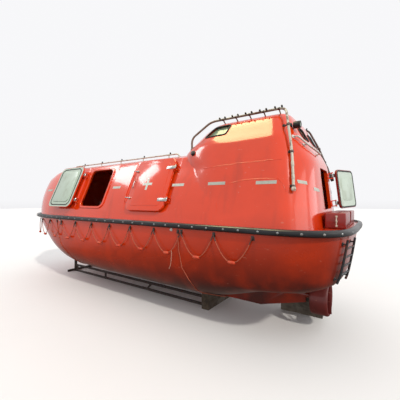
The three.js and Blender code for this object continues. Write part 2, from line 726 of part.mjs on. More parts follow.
// Sole, side benches, engine and helmsman's seat, fitted to the inside of the hull
function addCabin() {
  const inside = hullSolid(HULL_WALL + 0.4, HULL_TOP + 40);
  const sole = SOLE.top;
  const flat = box(...SOLE.ends, -SOLE.half, SOLE.half, sole - SOLE.thickness, sole);
  addMesh('cabin_sole', geometryOf(inside.intersect(flat)), PALE_GRP);
  for (const [name, side] of [['bench_port', 1], ['bench_starboard', -1]]) {
    const y = [side * BENCH.near, side * BENCH.far].sort((a, b) => a - b);
    const seat = box(...BENCH.ends, y[0], y[1], sole + GAP, sole + BENCH.height);
    addMesh(name, geometryOf(inside.intersect(seat)), PALE_GRP);
  }
  const lid = sole + ENGINE.height;
  const engine = box(...ENGINE.ends, -ENGINE.half, ENGINE.half, sole + GAP, lid);
  addMesh('engine_block', geometryOf(engine), DARK_PAINT);
  const seat = box(...SEAT.ends, -SEAT.half, SEAT.half, lid + GAP, sole + SEAT.top);
  const backEnds = [SEAT.ends[0], SEAT.ends[0] + SEAT.thickness];
  const back = box(...backEnds, -SEAT.half, SEAT.half, lid + GAP, sole + SEAT.back);
  addMesh('helm_seat', geometryOf(seat.add(back)), DARK_PAINT);
}

// One blade: a twisted plate from the hub outwards, as three sections
function blade() {
  // Rows: distance from the shaft, half chord and pitch angle
  const sections = [
    { out: 30, half: 34, pitch: 58 },
    { out: 110, half: 66, pitch: 34 },
    { out: PROPELLER_RADIUS - 12, half: 48, pitch: 24 },
    { out: PROPELLER_RADIUS, half: 18, pitch: 22 },
  ];
  const loops = sections.map((row) => {
    const pitch = THREE.MathUtils.degToRad(row.pitch);
    // Corners of a lens: along the chord and across it
    const corners = [[1, 0], [0.4, -1], [-0.4, -1], [-1, 0], [-0.4, 1], [0.4, 1]];
    return corners.map(([chord, thick]) => {
      const c = chord * row.half;
      const t = thick * 4;
      const x = c * Math.sin(pitch) + t * Math.cos(pitch);
      const y = c * Math.cos(pitch) - t * Math.sin(pitch);
      return new THREE.Vector3(x, y, row.out);
    });
  });
  return solidOf(loft(loops));
}

function addPropeller() {
  const front = SKEG_END - SHAFT_TUBE.outside - GAP - PROPELLER_X;
  const hubProfile = [
    new THREE.Vector2(0, -70),
    new THREE.Vector2(22, -64),
    new THREE.Vector2(34, -40),
    new THREE.Vector2(38, 20),
    new THREE.Vector2(32, 45),
    new THREE.Vector2(20, 50),
    new THREE.Vector2(20, front),
    new THREE.Vector2(0, front),
  ];
  const hub = new THREE.LatheGeometry(hubProfile, 20);
  hub.rotateZ(-Math.PI / 2);
  let wheel = solidOf(hub);
  const turn = new THREE.Matrix4();
  for (let i = 0; i < 4; i += 1) {
    turn.makeRotationX(i * Math.PI / 2 + Math.PI / 4);
    wheel = wheel.add(blade().transform(turn.elements));
  }
  const mesh = addMesh('propeller', geometryOf(wheel), BRONZE);
  mesh.position.set(PROPELLER_X, 0, SHAFT_Z);
}

// Steering nozzle: a duct round the propeller with a vane behind it and a stock above it
function addNozzle() {
  const half = NOZZLE.length / 2;
  const ringProfile = [
    new THREE.Vector2(NOZZLE.inner, -half + 12),
    new THREE.Vector2(NOZZLE.inner + 4, -half),
    new THREE.Vector2(NOZZLE.inner + 16, -half),
    new THREE.Vector2(NOZZLE.outer, -half + 20),
    new THREE.Vector2(NOZZLE.outer, half - 20),
    new THREE.Vector2(NOZZLE.outer - 8, half),
    new THREE.Vector2(NOZZLE.inner + 14, half),
    new THREE.Vector2(NOZZLE.inner, half - 40),
    new THREE.Vector2(NOZZLE.inner, -half + 12),
  ];
  const ring = new THREE.LatheGeometry(ringProfile, 32);
  ring.rotateZ(-Math.PI / 2);
  const stock = bar(
    new THREE.Vector3(0, 0, NOZZLE.outer - 14),
    new THREE.Vector3(0, 0, BOSS_BOTTOM - SHAFT_Z - GAP),
    30,
    16,
  );
  const vane = box(-half - 20, -half + 36, -7, 7, -NOZZLE.inner - 6, NOZZLE.inner + 6);
  const mesh = addMesh('steering_nozzle', geometryOf(union([solidOf(ring), stock, vane])), DARK_RED);
  mesh.position.set(NOZZLE_X, 0, SHAFT_Z);
}

// Plate with a throat for the lifting ring, on a base plate, standing on z = 0
function hookPlate() {
  const outline = new THREE.Shape();
  outline.moveTo(-70, 0);
  outline.lineTo(70, 0);
  outline.lineTo(62, 60);
  outline.absarc(0, 78, 62, -0.28, Math.PI * 0.62);
  outline.lineTo(-10, 112);
  outline.absarc(0, 78, 30, Math.PI * 0.62, -0.9, true);
  outline.lineTo(-40, 46);
  const plate = new THREE.ExtrudeGeometry(outline, { depth: 40, bevelEnabled: false, curveSegments: 8 });
  plate.translate(0, 0, -20);
  plate.rotateX(Math.PI / 2);
  return solidOf(plate).add(box(-92, 92, -60, 60, 0, 16));
}

// Box pedestals on the fore and aft decks, slotted at the middle for the release hooks
function addHooks() {
  for (const row of PEDESTALS) {
    const across = (from, to) => [row.sign * from, row.sign * to].sort((a, b) => a - b);
    const block = box(...across(row.inner, row.outer), -row.half, row.half, DECK_TOP + GAP, PEDESTAL_TOP);
    const slotEnds = across(row.inner + HOOK_SLOT.rim, row.outer + OVERRUN);
    const slot = box(...slotEnds, -HOOK_SLOT.half, HOOK_SLOT.half, HOOK_SLOT.floor, PEDESTAL_TOP + OVERRUN);
    addMesh(`hook_pedestal_${row.end}`, geometryOf(block.subtract(slot)), DARK_RED);
    const hook = addMesh(`release_hook_${row.end}`, geometryOf(hookPlate()), STEEL);
    hook.position.set(row.sign * (row.inner + row.outer + HOOK_SLOT.rim) / 2, 0, HOOK_SLOT.floor + GAP);
  }
}

// Rounded polyline: straight runs with short curved corners
function route(points, corner) {
  const path = new THREE.CurvePath();
  let start = points[0];
  for (let i = 1; i < points.length - 1; i += 1) {
    const before = new THREE.Vector3().subVectors(points[i - 1], points[i]).normalize();
    const after = new THREE.Vector3().subVectors(points[i + 1], points[i]).normalize();
    const inPoint = points[i].clone().addScaledVector(before, corner);
    const outPoint = points[i].clone().addScaledVector(after, corner);
    path.add(new THREE.LineCurve3(start, inPoint));
    path.add(new THREE.QuadraticBezierCurve3(inPoint, points[i], outPoint));
    start = outPoint;
  }
  path.add(new THREE.LineCurve3(start, points[points.length - 1]));
  return path;
}

// Curve that runs from point to point, with one step of the tube for each
class WayPoints extends THREE.Curve {
  constructor(points) {
    super();
    this.points = points;
  }

  getPoint(t, target = new THREE.Vector3()) {
    const place = t * (this.points.length - 1);
    const index = THREE.MathUtils.clamp(Math.floor(place), 0, this.points.length - 2);
    return target.lerpVectors(this.points[index], this.points[index + 1], place - index);
  }

  getUtoTmapping(u) {
    return u;
  }
}

function tube(points, radius, sides) {
  const section = new THREE.Shape();
  for (let i = 0; i < sides; i += 1) {
    const turn = (i / sides) * Math.PI * 2;
    const x = radius * Math.cos(turn);
    const y = radius * Math.sin(turn);
    if (i === 0) section.moveTo(x, y);
    else section.lineTo(x, y);
  }
  return new THREE.ExtrudeGeometry(section, {
    steps: points.length - 1,
    extrudePath: new WayPoints(points),
    bevelEnabled: false,
  });
}

// Spray rail on the canopy roof and spray pipe over the tower, one of each on either side
function addSprayPipes() {
  const clear = upperSolid(-GAP, DECK_TOP - OVERRUN);
  for (const [name, side] of [['port', 1], ['starboard', -1]]) {
    const at = (x, y, z) => new THREE.Vector3(x, side * y, z);
    const rail = route(RAIL_WAY.map((row) => at(...row)), 30).getPoints(3);
    const parts = [solidOf(tube(rail, RAIL_RADIUS, 8))];
    for (const x of RAIL_POSTS) {
      const tip = at(x + RAIL_NOZZLE.ahead, RAIL_NOZZLE.y, RAIL_NOZZLE.z);
      parts.push(bar(at(x, RAIL_Y, RAIL_POST_FOOT), at(x, RAIL_Y, RAIL_Z), NOZZLE_RADIUS, 6));
      parts.push(bar(at(x + RAIL_NOZZLE.ahead, RAIL_Y, RAIL_Z), tip, NOZZLE_RADIUS, 6));
    }
    addMesh(`spray_rail_${name}`, geometryOf(union(parts).subtract(clear)), PIPE_PAINT);
    const down = PIPE_DOWN[name].map((row) => at(...row));
    const start = PIPE_START.map((row) => at(...row));
    const pipe = route([...start, at(PIPE_AFT[name], PIPE_Y, PIPE_Z), ...down], 45).getPoints(3);
    const run = [solidOf(tube(pipe, PIPE_RADIUS, 8))];
    for (const x of PIPE_POSTS) {
      run.push(bar(at(x, PIPE_POST_FOOT.y, PIPE_POST_FOOT.z), at(x, PIPE_Y, PIPE_Z), POST_RADIUS, 6));
      for (const step of [-PIPE_NOZZLE.ahead, PIPE_NOZZLE.ahead]) {
        const tip = at(x + step, PIPE_NOZZLE.y, PIPE_NOZZLE.z);
        run.push(bar(at(x + step, PIPE_Y, PIPE_Z), tip, NOZZLE_RADIUS, 6));
      }
    }
    for (const point of down) {
      const middle = point.clone();
      middle.z += PIPE_CLAMP.rise;
      const seat = middle.clone().add(new THREE.Vector3(PIPE_CLAMP.along, -side * PIPE_CLAMP.inward, 0));
      run.push(bar(seat, middle, POST_RADIUS, 6));
    }
    addMesh(`spray_pipe_${name}`, geometryOf(union(run).subtract(clear)), PIPE_PAINT);
  }
}

function addGrabLines() {
  const places = clipPlaces();
  for (const [name, side] of [['port', 1], ['starboard', -1]]) {
    const reach = CLIP.depth + LINE_RADIUS + GAP + 0.6;
    const points = [];
    for (let i = 0; i < places.length - 1; i += 1) {
      const last = i === places.length - 2;
      for (let k = 0; k < LOOP_STEPS + last; k += 1) {
        const t = k / LOOP_STEPS;
        const x = THREE.MathUtils.lerp(places[i].point.x, places[i + 1].point.x, t);
        const place = hullSide(CLIP.z, x);
        const point = place.point.addScaledVector(place.out, reach);
        point.z -= LOOP_DROP * 4 * t * (1 - t);
        points.push(new THREE.Vector3(point.x, side * point.y, point.z));
      }
    }
    addMesh(`grab_line_${name}`, tube(points, LINE_RADIUS, 8), ROPE);
  }
}

// Keel lines and the loose end on the port grab line
function addLooseLines() {
  for (const [end, rows] of Object.entries(KEEL_LINES)) {
    const port = rows.map((row) => new THREE.Vector3(...row));
    const starboard = port.toReversed().map((point) => new THREE.Vector3(point.x, -point.y, point.z));
    addMesh(`keel_line_${end}`, tube([...port, ...starboard], LINE_RADIUS, 8), ROPE);
  }
  const tail = LINE_TAIL.map((row) => new THREE.Vector3(...row));
  addMesh('line_tail_port', tube(tail, TAIL_RADIUS, 8), ROPE);
}

// Ladder on the port quarter, standing off the hull on four stubs
const LADDER = { port: 780, starboard: 500, low: 880, high: 1380, standoff: 45, rungs: 4 };
function ladder() {
  const at = (y, z, inward = 0) => {
    const stern = aftEnd(planAt(HULL_LEVELS, hullLevel, z), y);
    return new THREE.Vector3(stern - LADDER.standoff + inward, y, z);
  };
  const parts = [];
  for (const y of [LADDER.port, LADDER.starboard]) {
    parts.push(bar(at(y, LADDER.high), at(y, LADDER.low), 14, 8));
    for (const z of [LADDER.high - 40, LADDER.low + 60]) {
      parts.push(bar(at(y, z), at(y, z, 120), 9, 6));
    }
  }
  for (let i = 0; i < LADDER.rungs; i += 1) {
    const z = THREE.MathUtils.lerp(LADDER.low + 60, LADDER.high - 40, (i + 0.5) / LADDER.rungs);
    parts.push(bar(at(LADDER.port, z), at(LADDER.starboard, z), 12, 8));
  }
  return union(parts).subtract(hullSolid(-GAP, HULL_TOP));
}

// Welded frame of square tubes under one side, each tube clear of those that it meets
function trussTubes(y) {
  const tube = (x0, x1, z0, z1, size) => box(x0, x1, y - size / 2, y + size / 2, z0, z1);
  const end = TRUSS_FRONT - FRONT_POST - GAP;
  const start = TRUSS_BACK - 20;
  const between = tube(start, end, CHORD + GAP, UPPER_CHORD.low - GAP, 2 * CHORD);
  const at = (x, z) => new THREE.Vector3(x, y, z);
  const gusset = new THREE.Shape();
  gusset.moveTo(end, CHORD + GAP);
  gusset.lineTo(end, UPPER_CHORD.low - GAP);
  gusset.lineTo(end - GUSSET.top, UPPER_CHORD.low - GAP);
  gusset.lineTo(end - GUSSET.bottom, CHORD + GAP);
  const plate = new THREE.ExtrudeGeometry(gusset, { depth: GUSSET.thickness, bevelEnabled: false });
  plate.rotateX(Math.PI / 2);
  plate.translate(0, y + GUSSET.thickness / 2, 0);
  return {
    lower_chord: tube(start, end, 0, CHORD, CHORD),
    upper_chord: tube(start, end, UPPER_CHORD.low, UPPER_CHORD.high, CHORD),
    front_post: tube(end + GAP, TRUSS_FRONT, 0, 420, FRONT_POST),
    upright: tube(1370 - BRACE / 2, 1370 + BRACE / 2, CHORD + GAP, UPPER_CHORD.low - GAP, BRACE),
    diagonal: squareBar(at(26, 0), at(-116, UPPER_CHORD.high), BRACE).intersect(between),
    gusset: solidOf(plate),
  };
}

// Steel trusses and bow foot, timber bolster and stern board of the cradle
function addCradle() {
  const below = hullSolid(-GAP, HULL_TOP);
  for (const [name, side] of [['port', 1], ['starboard', -1]]) {
    for (const [part, solid] of Object.entries(trussTubes(side * TRUSS_Y))) {
      addMesh(`truss_${name}_${part}`, geometryOf(solid.subtract(below)), RUST);
    }
  }
  const foot = box(TRUSS_FRONT + GAP, TRUSS_FRONT + FRONT_POST, -FOOT.half, FOOT.half, 0, FOOT.height);
  addMesh('cradle_foot_bow', geometryOf(foot), RUST);
  const keelSlot = box(-2000, -1000, -KEEL_WIDTH / 2 - GAP, KEEL_WIDTH / 2 + GAP, KEEL_BOTTOM - GAP, 400);
  const half = BOLSTER.width / 2;
  const block = box(BOLSTER.x - half, BOLSTER.x + half, -BOLSTER.half, BOLSTER.half, 0, 460);
  const trussEnds = box(TRUSS_BACK - 30, TRUSS_BACK + 200, -400, 400, 0, 200);
  const bolster = block.subtract(below).subtract(keelSlot).subtract(trussEnds);
  addMesh('cradle_bolster', geometryOf(bolster), TIMBER);
  const board = box(BOARD.back, BOARD.front, BOARD.y - BOARD.thickness, BOARD.y, 0, 800);
  addMesh('cradle_board_aft', geometryOf(board.subtract(below)), TIMBER);
}

// Places on the tower's aft face, held off it by a distance
function offAftFace(y, z, standoff) {
  const face = aftEnd(planAt(TOWER_LEVELS, towerLevel, z), Math.abs(y));
  return new THREE.Vector3(face - standoff, y, z);
}

// Hand rail over the aft door, bent to the face and held off it on three stays
const HAND_RAIL = {
  radius: 12.5,
  standoff: 50,
  way: [[700, 2618], [668, 2603], [640, 2575], [575, 2524], [450, 2486], [300, 2466], [150, 2452]],
  stays: [0, 3, 6],
};
function handRail() {
  const points = HAND_RAIL.way.map(([y, z]) => offAftFace(y, z, HAND_RAIL.standoff));
  const parts = [solidOf(tube(points, HAND_RAIL.radius, 8))];
  for (const index of HAND_RAIL.stays) {
    const seat = points[index].clone();
    seat.x += HAND_RAIL.standoff + 60;
    parts.push(bar(points[index], seat, 9, 8));
  }
  return union(parts).subtract(upperSolid(-GAP, DECK_TOP - OVERRUN));
}

// Lamp drum facing aft, on a foot at the top of the aft face
const LAMP = { y: 594, z: 2788, radius: 46, near: 30, far: 112 };
function lamp() {
  const at = (standoff) => offAftFace(LAMP.y, LAMP.z, standoff);
  const drum = bar(at(LAMP.near), at(LAMP.far), LAMP.radius, 20);
  const foot = bar(at(LAMP.near + 20), at(-60), 16, 12);
  return drum.add(foot).subtract(upperSolid(-GAP, DECK_TOP - OVERRUN));
}

addMesh('hull_shell', geometryOf(hullShell()), ORANGE);
addMesh('deck', geometryOf(deck()), ORANGE);
addMesh('fender', geometryOf(fender()), BLACK_RUBBER);
addUpperWorks();
addHatches();
addCabin();
addPropeller();
addNozzle();
addHooks();
addSprayPipes();
addGrabLines();
addLooseLines();
addMesh('stern_ladder', geometryOf(ladder()), DARK_PAINT);
addMesh('aft_hand_rail', geometryOf(handRail()), DARK_PAINT);
addMesh('tower_lamp', geometryOf(lamp()), DARK_PAINT);
addCradle();

export default boat;
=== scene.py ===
"""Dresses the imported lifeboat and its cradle: smooth mouldings, fittings, ropes, weathering and studio."""
import math
import random

import bmesh
import bpy
from bpy.props import FloatProperty, FloatVectorProperty, PointerProperty
from mathutils import Matrix, Vector
from mathutils.bvhtree import BVHTree


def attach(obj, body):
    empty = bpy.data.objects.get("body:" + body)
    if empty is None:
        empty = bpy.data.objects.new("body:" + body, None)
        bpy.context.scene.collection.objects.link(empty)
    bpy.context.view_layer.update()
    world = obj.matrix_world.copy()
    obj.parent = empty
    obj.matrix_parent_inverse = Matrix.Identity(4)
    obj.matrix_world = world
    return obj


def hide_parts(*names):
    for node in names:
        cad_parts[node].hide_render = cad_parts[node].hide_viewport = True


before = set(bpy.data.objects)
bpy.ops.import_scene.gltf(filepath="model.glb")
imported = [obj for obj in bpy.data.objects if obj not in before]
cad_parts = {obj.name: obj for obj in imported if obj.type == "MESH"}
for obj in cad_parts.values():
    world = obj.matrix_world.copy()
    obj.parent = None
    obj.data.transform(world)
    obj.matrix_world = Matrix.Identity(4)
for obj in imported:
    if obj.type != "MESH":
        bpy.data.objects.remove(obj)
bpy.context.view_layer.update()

bl_info = {
    "name": "Enclosed lifeboat dresser",
    "version": (1, 0, 0),
    "blender": (4, 5, 0),
    "location": "View3D > Sidebar > Lifeboat",
    "description": "Builds the visible mouldings, fittings and finishes round the packed lifeboat",
    "category": "Object",
}

MM = 0.001
SIDES = (("port", 1), ("starboard", -1))

# Sizes that the CAD source also uses, in millimetres
HALF_LENGTH, HALF_BEAM, SHEER = 3670, 1255, 1460
FENDER_DEPTH = 55
HULL_TOP = SHEER - 10
DECK_TOP = HULL_TOP + 25
HULL_WALL, UPPER_WALL = 60, 45
SEAT_GAP = 0.3  # between a piece and what carries it
HULL_LEVELS = (  # height, half breadth, bow end, stern end, fullness of the bow
    (240, 40, 2500, -1100, 2.0),
    (270, 300, 2600, -1400, 2.0),
    (330, 560, 2730, -1750, 2.1),
    (420, 790, 2860, -2150, 2.2),
    (530, 945, 2970, -2450, 2.3),
    (690, 1068, 3100, -2960, 2.4),
    (750, 1095, 3150, -3330, 2.5),
    (860, 1130, 3230, -3500, 2.7),
    (1100, 1172, 3390, -3560, 3.0),
    (HULL_TOP, HALF_BEAM - FENDER_DEPTH, HALF_LENGTH - FENDER_DEPTH, FENDER_DEPTH - HALF_LENGTH, 3.4),
)
CANOPY_LEVELS = (  # height, half breadth, bow end
    (DECK_TOP, 1146, 3190),
    (1620, 1122, 3230),
    (1840, 1064, 3270),
    (2060, 980, 3280),
    (2280, 876, 3260),
    (2420, 800, 3120),
    (2500, 750, 2970),
    (2550, 640, 2760),
    (2580, 420, 2450),
    (2590, 200, 2150),
)
TOWER_LEVELS = (  # height, half breadth, forward end, bulge of the aft face
    (DECK_TOP, 1150, -700, 169),
    (1800, 1075, -800, 189),
    (2080, 1012, -860, 206),
    (2300, 955, -900, 219),
    (2560, 876, -1090, 150),
    (2640, 850, -1180, 120),
    (2700, 812, -1260, 95),
    (2950, 645, -1630, 15),
    (2975, 590, -1720, 5),
)
# Plan outlines: lengths over which they narrow, and the powers of their rounding, where 2 is an ellipse
HULL_ENTRY, HULL_RUN, HULL_BOW_POWER, HULL_STERN_POWER = 2395, 1100, 2.6, 4
CANOPY_ENTRY, CANOPY_BOW_POWERS = 1970, (4, 6)
CANOPY_END, CANOPY_END_FROM, CANOPY_END_POWER = -2200, -2100, 2  # out of sight in the tower
TOWER_MIDDLE, TOWER_FOOT, TOWER_RAKE, TOWER_CORNER, TOWER_AFT_POWERS = -2050, -3140, 0.18, 260, (4, 7)
TOWER_BOW_POWERS, TOWER_SQUARES_FROM, TOWER_SQUARES_OVER = (2.0, 2.8), 2300, 260
CAD_QUARTER = 9  # steps in a quarter of the CAD hull's waterline
HATCH_LEAN = math.atan2(375, 880)
HATCH_PLANE_Y, HATCH_MID_Z = 937.5, 2060
HATCHES = (  # node, body, side, centre along the boat, hinged edge, shown open
    ("hatch_port_fore", "port_fore_hatch", 1, 750, 1, True),
    ("hatch_port_aft", "port_aft_hatch", 1, -760, -1, False),
    ("hatch_starboard_fore", "starboard_fore_hatch", -1, 750, 1, False),
    ("hatch_starboard_aft", "starboard_aft_hatch", -1, -760, -1, False),
)
HATCH_PANEL = (860, 930, 120, 26, 34)  # width, height, corner radius, lift and thickness
HINGE_X, HINGE_LIFT, HINGE_HEIGHT = 475, 76, 280
DOOR_LEAN = math.atan(0.12)
DOOR_X, DOOR_Z = -3250, 1975
DOOR_PANEL = (620, 600, 80, 8, 32)
DOOR_HINGE_X, DOOR_HINGE_LIFT, DOOR_HINGE_HEIGHT = 345, 56, 210
DOOR_OPEN = math.radians(165)
SHAFT_Z, NOZZLE_X, PROPELLER_X = 430, -3185, -3160
CLIP_HEIGHT, CLIP_DEPTH, CLIP_FIRST, CLIP_SPACING, CLIP_COUNT = 1375, 16, -2655, 534, 12
LINE_RADIUS, LINE_CLEARANCE, LOOP_DROP, LOOP_STEPS = 6, 0.9, 320, 14
KEEL_LINES = (  # keel lines, port half of each, from its clip down to the keel
    ("fore", ((1812, 1187, 1343.9), (1822, 1152.3, 1098.2), (1822, 1093.7, 857.1), (1735, 1056.9, 746),
              (1680, 1029, 684.7), (1665, 894.4, 522.8), (1660, 729, 411.5), (1660, 48, 133.2))),
    ("aft", ((-1524, 1201.5, 1343.9), (-1532, 1181.4, 1098.8), (-1553, 1139.2, 857.7),
             (-1605, 1103.9, 746.6), (-1625, 1076.1, 685.1), (-1650, 946.6, 522.9),
             (-1650, 866.3, 467.2), (-1650, 773.8, 411.3), (-1650, 48, 133.2))),
)
LINE_TAIL = ((-1425, 1216.8, 1096), (-1423, 1216, 1030), (-1416, 1215, 960), (-1404, 1213, 895),
             (-1372, 1211, 830))
TAIL_RADIUS = 5
TRUSS_Y, TRUSS_FRONT, TRUSS_BACK, CHORD, BRACE, FRONT_POST = 300, 2640, -1400, 40, 36, 50
UPPER_CHORD = (135, 175)
TRUSS_PARTS = ("lower_chord", "upper_chord", "front_post", "upright", "diagonal", "gusset")
PEDESTALS = (  # end, sign, near face, far face, half breadth
    ("fore", 1, 3310, 3540, 270),
    ("aft", -1, 3322, 3552, 560),
)
PEDESTAL_TOP, HOOK_FLOOR = 1665, 1515
PIPE_HEIGHT, PIPE_Y = 3018, 655
PIPE_POSTS = (-1950, -2160, -2370, -2580, -2790)
PIPE_ENDS = (  # name, side, aft end of the roof run, points down the aft face, finish
    ("port", 1, -2880, ((-2945, 775, 2760), (-3016, 872, 2400), (-3072, 1002, 1930)), "browned"),
    # The starboard pipe's dark brown is partly painted shade, for the shade it stands in against the light
    ("starboard", -1, -2862, ((-3036, 665, 2670), (-3124, 650, 2440), (-3244, 620, 2130)), "brown"),
)
RAIL_POSTS = (1800, 1150, 500, -150, -800)
HAND_RAIL = ((700, 2618), (668, 2603), (640, 2575), (575, 2524), (450, 2486), (300, 2466), (150, 2452))
LAMP_Y, LAMP_Z, LAMP_NEAR, LAMP_FAR, LAMP_RADIUS = 594, 2788, 30, 112, 46
AFT_WINDOW = ((150, 2640), (410, 2640), (410, 2810), (150, 2810))
SIDE_WINDOW = ((-1680, 2760), (-1830, 2910), (-2110, 2910), (-2060, 2760))
FRONT_WINDOW = ((40, 2700), (380, 2700), (380, 2890), (40, 2890))
CREASES = (  # beads on the tower's side, as (x, z)
    ((-1794, 2273), (-2061, 2290), (-2386, 2304), (-2681, 2308), (-2910, 2311)),
    ((-2279, 2043), (-2445, 2076), (-2648, 2081), (-2892, 2075), (-2947, 2018), (-2991, 1916)),
)
SIDE_STRIPS = (  # front end, back end, height
    (2720, 2440, 2050), (200, -10, 2050), (-1240, -1468, 2050), (-1915, -2189, 2046), (-2622, -2880, 2034),
)
AFT_STRIPS = ((830, 2032, 60), (560, 1950, 90))  # middle across, height, half length

# Openings, rims and seals as width, height and corner radius, in metres
HATCH_OPENING, DOORWAY = (0.68, 0.78, 0.09), (0.54, 0.56, 0.03)
HATCH_RIM, HATCH_SEAL, DOOR_SEAL = (0.77, 0.87, 0.13), (0.75, 0.85, 0.12), (0.6, 0.58, 0.068)
CUT_REACH = (-0.3, 0.2)  # how far under and over its plane an opening is cut

# Sizes that only the scene has, in millimetres
HULL_ROWS, CANOPY_ROWS, TOWER_ROWS = 34, 26, 30  # levels that each moulding is skinned through
PLAN_STEPS, OUTLINE_POINTS = 200, 72
CANOPY_ROOF, TOWER_ROOF = 2450, 2600  # above these heights a wall is laid off downwards
DECK_HOLE = 51  # from the upper mouldings' outside to the edge of the hole in the deck
OVERCUT = 50  # how far a cutting solid goes past what it cuts
MERGE = 0.02 * MM  # points nearer to each other than this become one
AFT_START, SIDE_START, LADDER_START = -4000, 2000, -4200  # clear of the boat, for lines to its skin
WINDOW_CORNER = 34  # where a glazing strip leaves its straight for a corner
CROSS_X, CROSS_ARM, CROSS_HALF = -712, 105, 22  # place along the boat, half length, half width
FIRST_BOLT_X = -2480
ROPE_SIDES, ROPE_LAY = 10, 7  # the strands' pattern runs its own length in this many radii
BEND_STEPS = 6  # in a rounded corner
LADDER_STILES, LADDER_HEIGHTS, LADDER_STAND_OFF = (780, 500), range(880, 1381, 50), 45
HAND_RAIL_STAND_OFF = 50
SCREW_X, SCREW_Y, SCREW_FOOT_Y = -3452, 574, 556
GRIME_AND_SHADE_RISE = 0.18  # how fast the low dirt and painted shade rise going aft

# Studio: directions, places and sizes in metres
SUN_PLACE, SUN_AIM = (0, 0, 8), (0.74, -0.3, -0.6)
SUN_WIDTH, SUN_COLOUR = math.radians(3), (1.0, 0.95, 0.87)
FLOOR_HALF, FLOOR_DROP = 60, 0.002  # the drop keeps it clear of the cradle's feet
SOFT_PANELS = (  # name, place, what it lights, size, watts, colour
    ("overhead_panel", (0.1, 1.35, 8), (-2.2, 0.8, 2.8), (5.0, 3.0), 430, (1.0, 0.9, 0.45)),
    ("bow_panel", (6.46, 3.59, 8.04), (0.1, 0.93, 2.25), (2.4, 3.1), 200, (1.0, 1.0, 1.0)),
    ("stern_panel", (-9.5, 0.2, 3.3), (-3.3, 0.6, 1.9), (5.0, 3.0), 70, (1.0, 0.97, 0.92)),
    ("quarter_panel", (-7.5, -4.0, 2.7), (-3.4, 0.2, 1.5), (3.0, 2.0), 24, (0.96, 0.98, 1.0)),
)

# The photo's view: camera place, direction that it looks in, and lens
CAMERA_PLACE = (-3.905, 4.09, 1.821)
CAMERA_AXIS = (0.5685, -0.8227, 0.0)
CAMERA_LENS, CAMERA_SENSOR = 23.76, 36.0


# Small helpers
def m(*values):
    """A point given in millimetres, as a vector in metres."""
    return Vector(values) * MM


def lerp(a, b, t):
    return a + (b - a) * t


def linear(hex_colour):
    """Scene-linear RGBA of an sRGB hex colour."""
    parts = [int(hex_colour[i:i + 2], 16) / 255 for i in (1, 3, 5)]
    return [c / 12.92 if c <= 0.04045 else ((c + 0.055) / 1.055) ** 2.4 for c in parts] + [1.0]


def ring_of(bm, points):
    """Closed ring of edges through the points."""
    verts = [bm.verts.new(p) for p in points]
    for a, b in zip(verts, verts[1:] + verts[:1]):
        bm.edges.new((a, b))
    return verts


def next_ring(bm, ring, points):
    """Extrudes a ring of edges and moves the new ring onto the points."""
    edges = [bm.edges.get(pair) for pair in zip(ring, ring[1:] + ring[:1])]
    made = bmesh.ops.extrude_edge_only(bm, edges=edges)["geom"]
    fresh = {v for v in made if isinstance(v, bmesh.types.BMVert)}
    moved = []
    for vert, point in zip(ring, points):
        new = next(e.other_vert(vert) for e in vert.link_edges if e.other_vert(vert) in fresh)
        new.co = point
        moved.append(new)
    return moved


def skin(bm, loops, caps=True):
    """Skin through a stack of loops with equal counts; the ends are capped by strips across."""
    first = ring = ring_of(bm, loops[0])
    for points in loops[1:]:
        ring = next_ring(bm, ring, points)
    if caps:
        for end in (first, ring):
            half = len(end) // 2
            for i in range(half - 1):
                corners = (end[i], end[i + 1], end[-i - 2], end[-i - 1])
                bm.faces.new([v for k, v in enumerate(corners) if v not in corners[:k]])
    return bm


def pipe(bm, points, radius, sides):
    """Round tube through the points, with its section carried along without twisting."""
    points = [Vector(p) for p in points]
    tangents = []
    for i in range(len(points)):
        ahead = points[min(i + 1, len(points) - 1)] - points[max(i - 1, 0)]
        tangents.append(ahead.normalized())
    side = tangents[0].orthogonal().normalized()
    loops = []
    for point, tangent in zip(points, tangents):
        side = (side - tangent * side.dot(tangent)).normalized()
        across = tangent.cross(side)
        turns = [2 * math.pi * k / sides for k in range(sides)]
        loops.append([point + (side * math.cos(a) + across * math.sin(a)) * radius for a in turns])
    return skin(bm, loops)


def bend(start, corner, end, t):
    """Point on the curve that rounds a corner."""
    return start * (1 - t) ** 2 + corner * 2 * t * (1 - t) + end * t * t


def rounded_path(points, radius):
    """Polyline with its corners rounded off by the radius."""
    points = [Vector(p) for p in points]
    path = [points[0]]
    for before, corner, after in zip(points, points[1:], points[2:]):
        reach = min(radius, (before - corner).length * 0.48, (after - corner).length * 0.48)
        start = corner + (before - corner).normalized() * reach
        end = corner + (after - corner).normalized() * reach
        path += [bend(start, corner, end, k / BEND_STEPS) for k in range(BEND_STEPS + 1)]
    path.append(points[-1])
    return path


def densified(way, count):
    """Points along a polyline, with the same number of steps between each two corners."""
    points = []
    for a, b in zip(way, way[1:]):
        points += [tuple(lerp(p, q, k / count) for p, q in zip(a, b)) for k in range(count)]
    return [*points, way[-1]]


def aim(direction, place):
    """Matrix that turns local Z onto a direction and moves to a place."""
    turn = Vector(direction).to_track_quat("Z", "Y").to_matrix().to_4x4()
    return Matrix.Translation(Vector(place)) @ turn


def thicken(bm, face, depth):
    """Gives a flat face a depth, as a closed prism."""
    made = bmesh.ops.extrude_face_region(bm, geom=[face])["geom"]
    bmesh.ops.translate(bm, vec=depth, verts=[v for v in made if isinstance(v, bmesh.types.BMVert)])


def once(parts):
    """Each part of a mesh once, in the order met, which a set would change from run to run."""
    return list(dict.fromkeys(parts))


def bevelled(bm, parts, offset, segments=2, affect="EDGES"):
    """Breaks edges, or rounds the corners of a flat face where it affects vertices."""
    bmesh.ops.bevel(
        bm, geom=parts, offset=offset, offset_type="OFFSET", segments=segments,
        profile=0.5, affect=affect, clamp_overlap=True, material=-1,
    )


